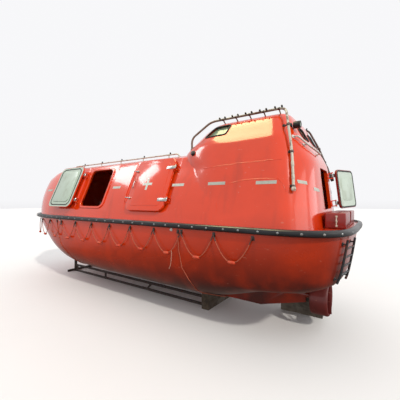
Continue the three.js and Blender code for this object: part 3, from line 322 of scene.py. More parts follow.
def rod(bm, start, end, radius, sides, bevel=0.0):
    """Round bar, with its rims broken by a bevel."""
    start, end = Vector(start), Vector(end)
    made = bmesh.ops.create_cone(
        bm, cap_ends=True, cap_tris=False, segments=sides, radius1=radius, radius2=radius,
        depth=(end - start).length, matrix=aim(end - start, (start + end) / 2),
    )
    if bevel:
        edges = once(e for v in made["verts"] for e in v.link_edges)
        rims = [e for e in edges if any(len(f.verts) > 4 for f in e.link_faces)]
        bevelled(bm, rims, bevel)


def block(bm, low, high, bevel=0.0, matrix=None, segments=2):
    """Box between two corners, with its edges broken by a bevel."""
    low, high = Vector(low), Vector(high)
    size = high - low
    place = Matrix.Translation((low + high) / 2) @ Matrix.Diagonal((*size, 1))
    verts = bmesh.ops.create_cube(bm, size=1.0, matrix=place)["verts"]
    if bevel:
        edges = once(e for v in verts for e in v.link_edges)
        before = set(bm.verts) - set(verts)
        bevelled(bm, edges, bevel, segments)
        verts = [v for v in bm.verts if v not in before]
    if matrix is not None:
        bmesh.ops.transform(bm, matrix=matrix, verts=verts)


def dome(bm, place, direction, radius, height, sides=12, rings=4):
    """Low dome standing on a surface, as a bolt head or a float end."""
    made = bmesh.ops.create_uvsphere(bm, u_segments=sides, v_segments=rings * 2, radius=1.0)
    squash = aim(direction, place) @ Matrix.Diagonal((radius, radius, height, 1))
    bmesh.ops.transform(bm, matrix=squash, verts=made["verts"])


def turned(bm, profile, matrix, steps):
    """Body of revolution round local Z from a profile of (radius, height)."""
    closed = profile[0] == profile[-1]
    verts = [bm.verts.new((r, 0, z)) for r, z in (profile[:-1] if closed else profile)]
    pairs = zip(verts, verts[1:] + verts[:1]) if closed else zip(verts, verts[1:])
    edges = [bm.edges.new(pair) for pair in pairs]
    before = set(bm.verts) - set(verts)
    bmesh.ops.spin(
        bm, geom=verts + edges, cent=(0, 0, 0), axis=(0, 0, 1), dvec=(0, 0, 0),
        angle=2 * math.pi, steps=steps, use_merge=True,
    )
    made = [v for v in bm.verts if v not in before]
    bmesh.ops.remove_doubles(bm, verts=made, dist=MERGE / 2)
    made = [v for v in bm.verts if v not in before]
    bmesh.ops.transform(bm, matrix=matrix, verts=made)


def slab(bm, width, height, radius, low, high, matrix, bevel=0.0, steps=6):
    """Plate with rounded corners in local X and Y, from one height to another; all in metres."""
    w, h = width / 2, height / 2
    verts = [bm.verts.new(p) for p in ((-w, -h, low), (w, -h, low), (w, h, low), (-w, h, low))]
    bm.faces.new(verts)
    before = set(bm.verts) - set(verts)
    bevelled(bm, verts, radius, steps, "VERTICES")
    flat = [f for f in bm.faces if all(v not in before for v in f.verts)]
    made = bmesh.ops.extrude_face_region(bm, geom=flat)["geom"]
    top = [v for v in made if isinstance(v, bmesh.types.BMVert)]
    bmesh.ops.translate(bm, vec=(0, 0, high - low), verts=top)
    if bevel:
        faces = [f for f in made if isinstance(f, bmesh.types.BMFace)]
        bevelled(bm, once(e for f in faces for e in f.edges), bevel)
    everything = [v for v in bm.verts if v not in before]
    bmesh.ops.transform(bm, matrix=matrix, verts=everything)


def hatch_matrix(side, x):
    """Frame of a side hatch: local X along the boat, Y up the slope, Z outwards."""
    s, c = math.sin(HATCH_LEAN), math.cos(HATCH_LEAN)
    along, up, out = Vector((-side, 0, 0)), Vector((0, -side * s, c)), Vector((0, side * c, s))
    return frame_matrix(along, up, out, m(x, side * HATCH_PLANE_Y, HATCH_MID_Z))


def door_matrix():
    """Frame of the stern door: local X to starboard, Y up, Z aft."""
    s, c = math.sin(DOOR_LEAN), math.cos(DOOR_LEAN)
    return frame_matrix(Vector((0, -1, 0)), Vector((s, 0, c)), Vector((-c, 0, s)), m(DOOR_X, 0, DOOR_Z))


def frame_matrix(along, up, out, place):
    """Matrix of a frame from its three directions and its place."""
    columns = Matrix((along, up, out)).transposed().to_4x4()
    return Matrix.Translation(place) @ columns


def hinged(matrix, hinge_x, hinge_lift, angle):
    """The panel's frame after it has turned about its pin line."""
    pin = Matrix.Translation(m(hinge_x, 0, hinge_lift))
    return matrix @ pin @ Matrix.Rotation(math.copysign(angle, hinge_x), 4, "Y") @ pin.inverted()


# Hull, canopy and tower shapes
def smooth_rows(rows, count):
    """Rows of a level table, refined along the height by a monotone cubic through them."""
    heights = [row[0] for row in rows]
    spans = [b - a for a, b in zip(heights, heights[1:])]
    columns = []
    for k in range(1, len(rows[0])):
        values = [row[k] for row in rows]
        rates = [(b - a) / s for a, b, s in zip(values, values[1:], spans)]
        slopes = [rates[0]]
        for left, right in zip(rates, rates[1:]):
            slopes.append(0 if left * right <= 0 else 2 * left * right / (left + right))
        slopes.append(rates[-1])
        columns.append((values, slopes))
    refined = []
    for i, span in enumerate(spans):
        steps = max(1, round(count * span / (heights[-1] - heights[0])))
        for step in range(steps):
            t = step / steps
            refined.append((heights[i] + span * t, *(
                (2 * t**3 - 3 * t**2 + 1) * v[i] + (t**3 - 2 * t**2 + t) * span * d[i]
                + (3 * t**2 - 2 * t**3) * v[i + 1] + (t**3 - t**2) * span * d[i + 1]
                for v, d in columns
            )))
    refined.append(tuple(rows[-1]))
    return refined


def plan(half, bow, bow_start, bow_along, bow_across, stern, stern_start, stern_along, stern_across,
         bulge=0.0, points=OUTLINE_POINTS):
    """Port half of a plan outline, from the bow to the stern, in even steps of arc length."""
    dense = []
    for k in range(PLAN_STEPS + 1):
        turn = k / PLAN_STEPS * math.pi / 2
        x = lerp(bow_start, bow, math.cos(turn) ** (2 / bow_along))
        dense.append((x, half * math.sin(turn) ** (2 / bow_across)))
    for k in range(PLAN_STEPS, -1, -1):
        turn = k / PLAN_STEPS * math.pi / 2
        share = math.cos(turn) ** (2 / stern_along)
        breadth = math.sin(turn) ** (2 / stern_across)
        x = lerp(stern_start, stern, share) - bulge * share * (1 - breadth**4)
        dense.append((x, half * breadth))
    gaps = [math.dist(a, b) for a, b in zip(dense, dense[1:])]
    total, outline = sum(gaps), [dense[0]]
    walked, index = 0.0, 0
    for k in range(1, points):
        goal = total * k / points
        while walked + gaps[index] < goal:
            walked += gaps[index]
            index += 1
        t = (goal - walked) / gaps[index] if gaps[index] else 0.0
        a, b = dense[index], dense[index + 1]
        outline.append((lerp(a[0], b[0], t), lerp(a[1], b[1], t)))
    outline.append(dense[-1])
    return outline


def loop_at(height, outline):
    """Whole closed loop in metres from the port half of its outline."""
    port = [m(x, y, height) for x, y in outline]
    return port + [Vector((p.x, -p.y, p.z)) for p in port[-2:0:-1]]


def hull_outline(half, bow, stern, across, points=OUTLINE_POINTS, out=0.0):
    half, bow, stern = half + out, bow + out, stern - out
    return plan(half, bow, bow - HULL_ENTRY, HULL_BOW_POWER, across,
                stern, stern + HULL_RUN, HULL_STERN_POWER, HULL_STERN_POWER, points=points)


def canopy_outline(half, bow):
    return plan(half, bow, bow - CANOPY_ENTRY, *CANOPY_BOW_POWERS,
                CANOPY_END, CANOPY_END_FROM, CANOPY_END_POWER, CANOPY_END_POWER)


def tower_outline(height, half, bow, bulge, inset):
    stern = TOWER_FOOT + (height - DECK_TOP) * TOWER_RAKE
    squarer = min(1.0, max(0.0, (height - TOWER_SQUARES_FROM) / TOWER_SQUARES_OVER))
    power = lerp(*TOWER_BOW_POWERS, squarer)
    return plan(half - inset, bow - inset, TOWER_MIDDLE, power, power,
                stern + inset, stern + TOWER_CORNER, *TOWER_AFT_POWERS, bulge)


def hull_level_at(height):
    """Half breadth, bow, stern and fullness of the hull at a height."""
    for low, high in zip(HULL_LEVELS, HULL_LEVELS[1:]):
        if height <= high[0]:
            t = (height - low[0]) / (high[0] - low[0])
            return [lerp(a, b, t) for a, b in zip(low[1:], high[1:])]
    return list(HULL_LEVELS[-1][1:])


# Finishes
def add_node(tree, kind, inputs=None, **settings):
    """Adds a node with its settings; an input is a plain value or another node's socket."""
    node = tree.nodes.new(kind)
    for key, value in settings.items():
        setattr(node, key, value)
    for key, value in (inputs or {}).items():
        if isinstance(value, bpy.types.NodeSocket):
            tree.links.new(value, node.inputs[key])
        else:
            node.inputs[key].default_value = value
    return node


def start_finish(name, colour, roughness, **fixed):
    """New material with a Principled shader; returns it with its tree and its Object coordinates."""
    finish = bpy.data.materials.new(name)
    finish.use_nodes = True
    tree = finish.node_tree
    tree.nodes.clear()
    inputs = {"Base Color": colour, "Roughness": roughness}
    inputs.update({key.replace("_", " "): value for key, value in fixed.items()})
    shader = add_node(tree, "ShaderNodeBsdfPrincipled", inputs)
    add_node(tree, "ShaderNodeOutputMaterial", {"Surface": shader.outputs["BSDF"]})
    return finish, tree, add_node(tree, "ShaderNodeTexCoord").outputs["Object"]


def shade(colour, factor):
    """A colour made darker or lighter."""
    return [min(1.0, c * factor) for c in colour[:3]] + [1.0]


def patches(tree, place, size, low, high, stretch=(1, 1, 1), detail=3.0, seed=0.0):
    """Cloudy mask from 0 to 1; size is the real width of a patch in millimetres."""
    moved = add_node(tree, "ShaderNodeMapping", {
        "Vector": place, "Location": (seed, seed * 0.7, seed * 1.3), "Scale": stretch,
    })
    cloud = add_node(tree, "ShaderNodeTexNoise", {
        "Vector": moved.outputs["Vector"], "Scale": 1 / (size * MM), "Detail": detail,
    })
    edge = add_node(tree, "ShaderNodeMapRange", {
        "Value": cloud.outputs["Fac"], "From Min": low, "From Max": high,
    })
    return edge.outputs["Result"]


def low_grime_and_shade(tree, place, clear, full):
    """Cloudy mask of dirt and painted shade that thickens downwards between two heights, in millimetres, and
    reaches higher aft.
    """
    height = add_node(tree, "ShaderNodeVectorMath", {0: place, 1: (GRIME_AND_SHADE_RISE, 0, 1)},
                      operation="DOT_PRODUCT").outputs["Value"]
    depth = add_node(tree, "ShaderNodeMapRange", {
        "Value": height, "From Min": clear * MM, "From Max": full * MM,
    })
    cloud = patches(tree, place, 420, -0.2, 0.55, detail=6, seed=11)
    return add_node(tree, "ShaderNodeMath", {0: depth.outputs["Result"], 1: cloud},
                    operation="MULTIPLY").outputs[0]


def stain(tree, mask, share, under, over):
    """Lays a second colour over the first where the mask says, at most by a share."""
    amount = add_node(tree, "ShaderNodeMapRange", {"Value": mask, "To Max": share})
    inputs = {0: amount.outputs["Result"], 6: under, 7: over}
    return add_node(tree, "ShaderNodeMix", inputs, data_type="RGBA").outputs[2]


def complete(finish, tone, height, depth, dull=None, span=(0.3, 0.6)):
    """Links the colour, a bump of a real depth in millimetres and the mask that dulls the surface."""
    tree = finish.node_tree
    shader = tree.nodes["Principled BSDF"]
    tree.links.new(tone, shader.inputs["Base Color"])
    bump = add_node(tree, "ShaderNodeBump", {"Height": height, "Distance": depth * MM, "Strength": 0.6})
    tree.links.new(bump.outputs["Normal"], shader.inputs["Normal"])
    if dull is not None:
        rough = add_node(tree, "ShaderNodeMapRange", {"Value": dull, "To Min": span[0], "To Max": span[1]})
        tree.links.new(rough.outputs["Result"], shader.inputs["Roughness"])
    return finish


def gelcoat(name, colour, grime_and_shade_share, gloss):
    # Sprayed polyester gelcoat over glass mat: a waxed gloss that mirrors lamps with wavy edges,
    # because the mat ripples it, with sun-faded and run-stained patches, and dirt low down that is partly
    # painted shade, darker and reaching higher aft
    finish, tree, place = start_finish(name, colour, gloss, IOR=1.5, Coat_Weight=0.4, Coat_Roughness=0.05)
    tone = stain(tree, patches(tree, place, 900, 0.42, 0.66, detail=4), 0.3, colour, shade(colour, 1.2))
    mottled = patches(tree, place, 190, 0.45, 0.75, detail=5, seed=3)
    tone = stain(tree, mottled, 0.2, tone, shade(colour, 0.78))
    runs = patches(tree, place, 170, 0.56, 0.74, (1, 1, 0.1), 6, seed=7)
    tone = stain(tree, runs, 0.22, tone, linear("#7c2a18"))
    # Painted shade mixed with dirt: the moulding is painted much darker towards the bottom, and higher up
    # aft, for the shade under the bilge
    grime_and_shade_mask = low_grime_and_shade(tree, place, 1190, 270)
    tone = stain(tree, grime_and_shade_mask, grime_and_shade_share, tone, linear("#2b0a07"))
    scuffs = patches(tree, place, 34, 0.68, 0.73, (0.5, 0.5, 1), 8, seed=19)
    tone = stain(tree, scuffs, 0.3, tone, linear("#d08c74"))
    ripple = patches(tree, place, 260, 0.2, 0.8, detail=2, seed=5)
    return complete(finish, tone, ripple, 2.2, grime_and_shade_mask, (gloss, gloss + 0.25))


def liner_gelcoat():
    # Inner gelcoat sprayed over a flow coat: pale green-grey, satin, flecked and water-stained
    base = linear("#b9c9b8")
    finish, tree, place = start_finish("sprayed_liner_gelcoat", base, 0.34, IOR=1.5)
    fleck = patches(tree, place, 9, 0.62, 0.66, detail=2)
    tone = stain(tree, fleck, 0.4, base, linear("#8c9a8c"))
    soiled = patches(tree, place, 160, 0.5, 0.8, detail=5, seed=4)
    tone = stain(tree, soiled, 0.45, tone, linear("#8f9078"))
    return complete(finish, tone, patches(tree, place, 120, 0.2, 0.8, seed=9), 1.0, soiled, (0.3, 0.55))


def fender_rubber():
    # Extruded EPDM rubber: near black and satin, with a chalky bloom drawn out along it and salt marks
    base = linear("#0d0d0f")
    finish, tree, place = start_finish("extruded_epdm_rubber", base, 0.4, IOR=1.52)
    bloom = patches(tree, place, 140, 0.45, 0.78, (0.25, 0.25, 1), 6)
    tone = stain(tree, bloom, 0.3, base, linear("#43484f"))
    salt = patches(tree, place, 22, 0.68, 0.76, detail=6, seed=9)
    tone = stain(tree, salt, 0.4, tone, linear("#8b8d8e"))
    nicks = patches(tree, place, 16, 0.3, 0.8, (0.2, 0.2, 1), 4, seed=2)
    return complete(finish, tone, nicks, 0.8, bloom, (0.3, 0.6))


def seal_rubber():
    # Closed-cell neoprene seal: dull black, faintly dusty, finely pored
    base = linear("#121315")
    finish, tree, place = start_finish("soft_neoprene_seal", base, 0.7, IOR=1.52)
    dust = patches(tree, place, 60, 0.5, 0.8, detail=5)
    tone = stain(tree, dust, 0.3, base, linear("#4b4d50"))
    return complete(finish, tone, patches(tree, place, 5, 0.3, 0.7, detail=2, seed=8), 0.2)


def stainless(name, tint, rough):
    # Drawn stainless steel: satin along the bar, with tea-coloured staining where salt has stood
    base = linear(tint)
    finish, tree, place = start_finish(name, base, rough, Metallic=1.0)
    tea = patches(tree, place, 45, 0.52, 0.74, detail=6)
    tone = stain(tree, tea, 0.55, base, linear("#6b4f38"))
    drawn = patches(tree, place, 4, 0.3, 0.7, (1, 1, 0.1), 3, seed=6)
    return complete(finish, tone, drawn, 0.08, tea, (rough, rough + 0.3))


def flaking_paint(name, colour, rust, size, film=None):
    # Brushed alkyd paint on steel: slightly lumpy and greyed, broken by rust spots with dark rims. With a
    # film, the run over the tower's roof is browned by soot and rust, and the leg down aft stays clean
    rough = 0.36
    finish, tree, place = start_finish(name, colour, rough, IOR=1.5)
    spots = patches(tree, place, size, 0.58, 0.63, detail=8)
    grey = patches(tree, place, size * 4, 0.4, 0.8, detail=5, seed=3)
    tone = stain(tree, grey, 0.35, colour, shade(colour, 0.6))
    if film:
        along = add_node(tree, "ShaderNodeSeparateXYZ", {"Vector": place}).outputs["X"]
        fore = add_node(tree, "ShaderNodeMapRange", {"Value": along, "From Min": -2.9, "From Max": -2.7})
        tone = stain(tree, fore.outputs["Result"], 0.85, tone, linear(film))
    tone = stain(tree, patches(tree, place, size, 0.54, 0.6, detail=8), rust * 0.5, tone, linear("#33231c"))
    tone = stain(tree, spots, rust, tone, linear("#74402a"))
    return complete(finish, tone, spots, 0.4, spots, (rough, 0.85))


def rusted_steel():
    # Mild steel hollow section left outdoors: brown scale, dark mill patches and orange bloom
    base = linear("#33231d")
    finish, tree, place = start_finish("weathered_mild_steel", base, 0.8, Metallic=0.1)
    tone = stain(tree, patches(tree, place, 55, 0.4, 0.7, detail=9), 1.0, base, linear("#1b1412"))
    bloom = patches(tree, place, 24, 0.56, 0.72, detail=8, seed=5)
    tone = stain(tree, bloom, 0.7, tone, linear("#6b3d26"))
    pits = patches(tree, place, 9, 0.2, 0.8, detail=7, seed=2)
    return complete(finish, tone, pits, 1.2, bloom, (0.6, 0.95))


def packing_timber(name, along, tint):
    # Rough-sawn softwood: grain along one axis, grey weathering, oily dirt and dark drying checks
    base = linear(tint)
    stretch = tuple(0.08 if axis == along else 1.0 for axis in "XYZ")
    finish, tree, place = start_finish(name, base, 0.9, IOR=1.45)
    grain = patches(tree, place, 26, 0.3, 0.7, stretch, 8)
    tone = stain(tree, grain, 1.0, shade(base, 0.5), base)
    grey = patches(tree, place, 160, 0.45, 0.7, detail=5, seed=8)
    tone = stain(tree, grey, 0.45, tone, linear("#7d776d"))
    dirt = patches(tree, place, 110, 0.5, 0.66, detail=7, seed=14)
    tone = stain(tree, dirt, 0.6, tone, linear("#241c17"))
    check = patches(tree, place, 12, 0.66, 0.7, stretch, 4, seed=12)
    tone = stain(tree, check, 0.9, tone, linear("#15100d"))
    return complete(finish, tone, grain, 2.5)


def window_sheet():
    # Cast acrylic sheet, pale green against the sprayed liner behind it: glossy, faintly crazed
    base = linear("#a9bd9c")
    finish, tree, place = start_finish("cast_acrylic_sheet", base, 0.06, IOR=1.49, Transmission_Weight=0.35)
    haze = patches(tree, place, 90, 0.4, 0.8, detail=5)
    tone = stain(tree, haze, 0.6, base, linear("#7f9684"))
    return complete(finish, tone, patches(tree, place, 200, 0.2, 0.8, seed=3), 0.6, haze, (0.05, 0.2))


def reflective_tape():
    # Prismatic reflective tape: silver-grey under its sealed cells, which are drawn at 9 mm, about
    # three times their real size, so that they show; dirty at the edges
    base = linear("#b9bdb0")
    finish, tree, place = start_finish("prismatic_reflective_tape", base, 0.35, Metallic=0.2)
    cells = add_node(tree, "ShaderNodeTexVoronoi", {
        "Vector": place, "Scale": 1 / (9 * MM), "Randomness": 0.15,
    }, feature="DISTANCE_TO_EDGE").outputs["Distance"]
    wall = add_node(tree, "ShaderNodeMapRange", {"Value": cells, "From Max": 0.08}).outputs["Result"]
    tone = stain(tree, wall, 1.0, linear("#a4a99f"), base)
    tone = stain(tree, patches(tree, place, 70, 0.48, 0.78, detail=6), 0.45, tone, linear("#94806f"))
    return complete(finish, tone, wall, 0.15)


def laid_rope(name, tint):
    # Three-strand polypropylene rope: faded, with strands that twist along its own length and the grooves
    # between them painted darker as painted shade
    base = linear(tint)
    finish, tree, _ = start_finish(name, base, 0.75, IOR=1.5)
    along = add_node(tree, "ShaderNodeUVMap", uv_map="rope").outputs["UV"]
    strands_and_groove_shade = add_node(tree, "ShaderNodeTexWave", {"Vector": along, "Scale": 3.0},
                       wave_type="BANDS", bands_direction="DIAGONAL").outputs["Fac"]
    # Painted shade: where the strands' bump is low, in the grooves, the colour is half as bright
    tone = stain(tree, strands_and_groove_shade, 1.0, shade(base, 0.5), base)
    return complete(finish, tone, strands_and_groove_shade, 1.5)


def float_foam():
    # Moulded EVA float: matt orange-red skin, sun-bleached on top and scuffed
    base = linear("#c8391c")
    finish, tree, place = start_finish("moulded_eva_float", base, 0.55, IOR=1.45)
    tone = stain(tree, patches(tree, place, 50, 0.4, 0.7, detail=4), 0.6, base, linear("#e0704a"))
    return complete(finish, tone, patches(tree, place, 6, 0.3, 0.7, seed=2), 0.4)


def propeller_bronze():
    # Cast manganese bronze: golden where polished, brown-green tarnish in the roots
    base = linear("#a8834a")
    finish, tree, place = start_finish("cast_manganese_bronze", base, 0.34, Metallic=1.0)
    tarnish = patches(tree, place, 60, 0.4, 0.68, detail=6)
    tone = stain(tree, tarnish, 0.75, base, linear("#4f4a32"))
    return complete(finish, tone, patches(tree, place, 12, 0.3, 0.7, seed=3), 0.3, tarnish, (0.3, 0.6))


def moulded_plastic(name, tint, rough=0.5):
    # Injection-moulded fitting: even colour, fine spark-eroded grain, dirt in patches
    base = linear(tint)
    finish, tree, place = start_finish(name, base, rough, IOR=1.5)
    tone = stain(tree, patches(tree, place, 40, 0.45, 0.8, detail=5), 0.4, base, shade(base, 0.45))
    return complete(finish, tone, patches(tree, place, 3, 0.3, 0.7, detail=2, seed=2), 0.1)


def seat_vinyl():
    # Coated vinyl on the helmsman's seat: dark grey and satin, embossed like leather
    base = linear("#2c2f33")
    finish, tree, place = start_finish("coated_seat_vinyl", base, 0.5, IOR=1.5)
    pebble = add_node(tree, "ShaderNodeTexVoronoi", {
        "Vector": place, "Scale": 1 / (6 * MM),
    }).outputs["Distance"]
    return complete(finish, stain(tree, pebble, 0.3, base, linear("#4c5056")), pebble, 0.5)


def studio_paint(colour):
    # Matt wall paint rolled on a studio floor: pale, with the faintest cloudy dirt
    finish, tree, place = start_finish("rolled_floor_paint", colour, 0.75)
    tone = stain(tree, patches(tree, place, 900, 0.3, 0.8), 0.2, colour, shade(colour, 0.94))
    return complete(finish, tone, patches(tree, place, 6, 0.3, 0.7, seed=1), 0.1)


FINISHES = {}


def make_finishes():
    """Every finish once, by the name that the pieces use."""
    colours = bpy.context.scene.lifeboat_colours
    FINISHES.update(
        # The orange and the dark red take 0.92 and 0.7 of the low dirt and painted shade
        orange=gelcoat("orange_polyester_gelcoat", list(colours.moulding), 0.92, 0.16),
        red=gelcoat("dark_red_polyester_gelcoat", list(colours.gear), 0.7, 0.4),
        liner=liner_gelcoat(),
        fender=fender_rubber(),
        seal=seal_rubber(),
        steel=stainless("drawn_stainless_steel", "#a3a5a3", 0.26),
        cream=flaking_paint("cream_alkyd_on_pipe", list(colours.pipes), 0.6, 50),
        browned=flaking_paint("browned_alkyd_on_pipe", list(colours.pipes), 0.6, 50, film="#6b5040"),
        # Brown primer; on the starboard spray pipe it is partly painted shade
        brown=flaking_paint("brown_primer_and_painted_shade", linear("#4a3832"), 0.6, 50),
        dark=flaking_paint("dark_grey_alkyd_on_steel", linear("#2b2d30"), 0.35, 90),
        white=flaking_paint("white_alkyd_on_steel", linear("#d8d8d0"), 0.35, 40),
        rust=rusted_steel(),
        bolster=packing_timber("rough_sawn_spruce_block", "Y", "#544739"),
        board=packing_timber("rough_sawn_spruce_board", "X", "#5f554a"),
        window=window_sheet(),
        tape=reflective_tape(),
        rope=laid_rope("three_strand_polypropylene", "#d0694c"),
        tail=laid_rope("faded_polypropylene_end", "#dba089"),
        float=float_foam(),
        bronze=propeller_bronze(),
        black_plastic=moulded_plastic("moulded_black_nylon", "#161719"),
        lamp=moulded_plastic("moulded_amber_acrylic", "#d9772a", 0.2),
        vinyl=seat_vinyl(),
        floor=studio_paint(list(colours.floor)),
    )


# Helpers for the operators
def loose(bm, name, recalc=True):
    """Object of its own from a bmesh, which is freed; also a working object for a boolean."""
    if recalc:
        bmesh.ops.remove_doubles(bm, verts=bm.verts, dist=MERGE)
        bmesh.ops.recalc_face_normals(bm, faces=bm.faces)
    mesh = bpy.data.meshes.new(name)
    bm.to_mesh(mesh)
    bm.free()
    obj = bpy.data.objects.new(name, mesh)
    bpy.context.scene.collection.objects.link(obj)
    return obj


def boxed(name, *box, **edges):
    """Working object that is one box; the rest is as for block."""
    bm = bmesh.new()
    block(bm, *box, **edges)
    return loose(bm, name)


def discard(obj):
    """Removes a working object with its mesh."""
    mesh = obj.data
    bpy.data.objects.remove(obj)
    bpy.data.meshes.remove(mesh)


def apply_boolean(obj, other, operation):
    """Cuts or joins another object into this one, keeps the result as its mesh and drops the other."""
    step = obj.modifiers.new("cut", "BOOLEAN")
    step.operation, step.object, step.solver = operation, other, "EXACT"
    bpy.context.view_layer.update()
    graph = bpy.context.evaluated_depsgraph_get()
    result = bpy.data.meshes.new_from_object(obj.evaluated_get(graph))
    obj.modifiers.clear()
    old = obj.data
    obj.data = result
    bpy.data.meshes.remove(old)
    discard(other)


def adopt(obj, body, finish, smooth, stands_for=()):
    """Makes a piece of an object: its finish, its sharp edges, its body and what it stands for."""
    obj.data.materials.clear()
    obj.data.materials.append(FINISHES[finish])
    for face in obj.data.polygons:
        face.material_index = 0
    obj.data.shade_smooth()
    obj.data.set_sharp_from_angle(angle=math.radians(smooth))
    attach(obj, body)
    if stands_for:
        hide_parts(*stands_for)
    return obj


def finish_piece(bm, name, body, finish, smooth, stands_for=(), recalc=True):
    """Turns a bmesh into a named piece that rides on a CAD body."""
    return adopt(loose(bm, name, recalc), body, finish, smooth, stands_for)


def stack(heights, outlines):
    """Closed solid through outlines, each at its own height."""
    return skin(bmesh.new(), [loop_at(*level) for level in zip(heights, outlines)])


def hull_solid(inset=0.0, top=HULL_TOP):
    """The hull, moved inwards by the inset and closed at the top's height."""
    rows = smooth_rows(HULL_LEVELS, HULL_ROWS)
    heights = [row[0] + inset for row in rows[:-1]]
    return stack([*heights, top], [hull_outline(*row[1:], out=-inset) for row in rows])


def upper_heights(rows, roof, inset, bottom):
    """Heights of an upper moulding's levels: its foot as given, its roof lower by the inset."""
    return [bottom] + [row[0] - (inset if row[0] > roof else 0) for row in rows[1:]]


def canopy_solid(inset, bottom):
    rows = smooth_rows(CANOPY_LEVELS, CANOPY_ROWS)
    outlines = [canopy_outline(half - inset, bow - inset) for _, half, bow in rows]
    return stack(upper_heights(rows, CANOPY_ROOF, inset, bottom), outlines)


def tower_solid(inset, bottom):
    rows = smooth_rows(TOWER_LEVELS, TOWER_ROWS)
    outlines = [tower_outline(*row, inset) for row in rows]
    return stack(upper_heights(rows, TOWER_ROOF, inset, bottom), outlines)


def upper_works(inset, bottom, name):
    """Canopy and tower in one working object."""
    both = loose(canopy_solid(inset, bottom), name)
    apply_boolean(both, loose(tower_solid(inset, bottom), "tower"), "UNION")
    return both


def repaint(name, finish):
    """Gives a CAD node that is seen as it is one of the finishes."""
    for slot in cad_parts[name].material_slots:
        slot.material = FINISHES[finish]


SKINS = {}


def upper_skin():
    """Search tree over the outside of canopy and tower, for laying things on them."""
    if "upper" not in SKINS:
        both = upper_works(0.0, DECK_TOP, "skin")
        bm = bmesh.new()
        bm.from_mesh(both.data)
        discard(both)
        SKINS["upper"] = BVHTree.FromBMesh(bm)
        bm.free()
    return SKINS["upper"]


def hull_skin():
    """Search tree over the outside of the hull."""
    if "hull" not in SKINS:
        bm = hull_solid()
        bmesh.ops.recalc_face_normals(bm, faces=bm.faces)
        SKINS["hull"] = BVHTree.FromBMesh(bm)
        bm.free()
    return SKINS["hull"]


def land(tree, start, direction):
    """Point and outward direction where a straight line meets a skin."""
    place, normal, _, _ = tree.ray_cast(Vector(start), Vector(direction).normalized())
    if place is None:
        raise RuntimeError(f"nothing to lay on from {tuple(start)}")
    if normal.dot(Vector(direction)) > 0:
        normal.negate()
    return place, normal


def patch(bm, tree, corner_points, direction, columns, rows, lift, thickness):
    """Thin sheet that lies on a skin: a grid between four corners, dropped along a direction."""
    a, b, c, d = (Vector(p) for p in corner_points)
    grid = bmesh.ops.create_grid(bm, x_segments=columns, y_segments=rows, size=0.5)["verts"]
    for vert in grid:
        u, v = vert.co.x + 0.5, vert.co.y + 0.5
        flat = a.lerp(b, u).lerp(d.lerp(c, u), v)
        place, normal = land(tree, flat, direction)
        vert.co = place + normal * lift
    faces = once(f for v in grid for f in v.link_faces)
    bmesh.ops.recalc_face_normals(bm, faces=faces)
    if sum(f.normal.dot(Vector(direction)) * f.calc_area() for f in faces) > 0:
        bmesh.ops.reverse_faces(bm, faces=faces)
    bmesh.ops.solidify(bm, geom=faces + grid, thickness=-thickness)


def rounded_rectangle(width, height, radius, z, matrix):
    """Points of a rounded rectangle, from the right side round."""
    points = []
    for cx, cy, start in ((1, 1, 0), (-1, 1, 90), (-1, -1, 180), (1, -1, 270)):
        for k in range(BEND_STEPS + 1):
            turn = math.radians(start + 90 * k / BEND_STEPS)
            x = cx * (width / 2 - radius) + radius * math.cos(turn)
            y = cy * (height / 2 - radius) + radius * math.sin(turn)
            points.append(matrix @ Vector((x, y, z)))
    return points


def ring_plate(bm, outer, inner, low, high, matrix, lip):
    """Frame with rounded corners and its upper edges broken by a lip; outer and inner are sizes."""
    profile = [
        (outer, low), (outer, high - lip),
        ((outer[0] - 2 * lip, outer[1] - 2 * lip, outer[2] - lip), high),
        ((inner[0] + 2 * lip, inner[1] + 2 * lip, inner[2] + lip), high),
        (inner, high - lip), (inner, low), (outer, low),
    ]
    skin(bm, [rounded_rectangle(*size, z, matrix) for size, z in profile], caps=False)


def closed_pipe(bm, points, radius, sides):
    """Tube round a closed path."""
    count = len(points)
    centre = sum(points, Vector()) / count
    loops = []
    for i in range(count):
        tangent = (points[(i + 1) % count] - points[i - 1]).normalized()
        out = points[i] - centre
        out = (out - tangent * out.dot(tangent)).normalized()
        up = tangent.cross(out)
        loops.append([points[i] + (out * math.cos(a) + up * math.sin(a)) * radius
                      for a in (2 * math.pi * k / sides for k in range(sides))])
    skin(bm, loops + [loops[0]], caps=False)


def cad_waterline(height):
    """Port half of the waterline with the same few points as the CAD source."""
    half, bow, stern, across = hull_level_at(height)
    turns = [i / CAD_QUARTER * math.pi / 2 for i in range(CAD_QUARTER, -1, -1)]

    def quarter(start, end, along, over):
        shares = [(math.cos(a) ** (2 / along), math.sin(a) ** (2 / over)) for a in turns]
        return [(lerp(start, end, share), half * breadth) for share, breadth in shares]

    fore = quarter(bow - HULL_ENTRY, bow, HULL_BOW_POWER, across)
    return fore[::-1] + quarter(stern + HULL_RUN, stern, HULL_STERN_POWER, HULL_STERN_POWER)


def hull_side(height, x):
    """Point on the port side of the CAD hull and its outward direction, in millimetres."""
    line = cad_waterline(height)
    i = next(k for k, p in enumerate(line) if p[0] <= x and k > 0)
    a, b = line[i - 1], line[i]
    t = (x - a[0]) / (b[0] - a[0])
    out = Vector((b[1] - a[1], a[0] - b[0], 0)).normalized()
    return Vector((x, lerp(a[1], b[1], t), height)), out


def clip_places():
    """Point on the port side and outward direction of each clip of the grab line."""
    places, x = [], CLIP_FIRST
    for _ in range(CLIP_COUNT):
        point, out = hull_side(CLIP_HEIGHT, x)
        places.append((point, out))
        x += CLIP_SPACING * abs(out.y)
    return places


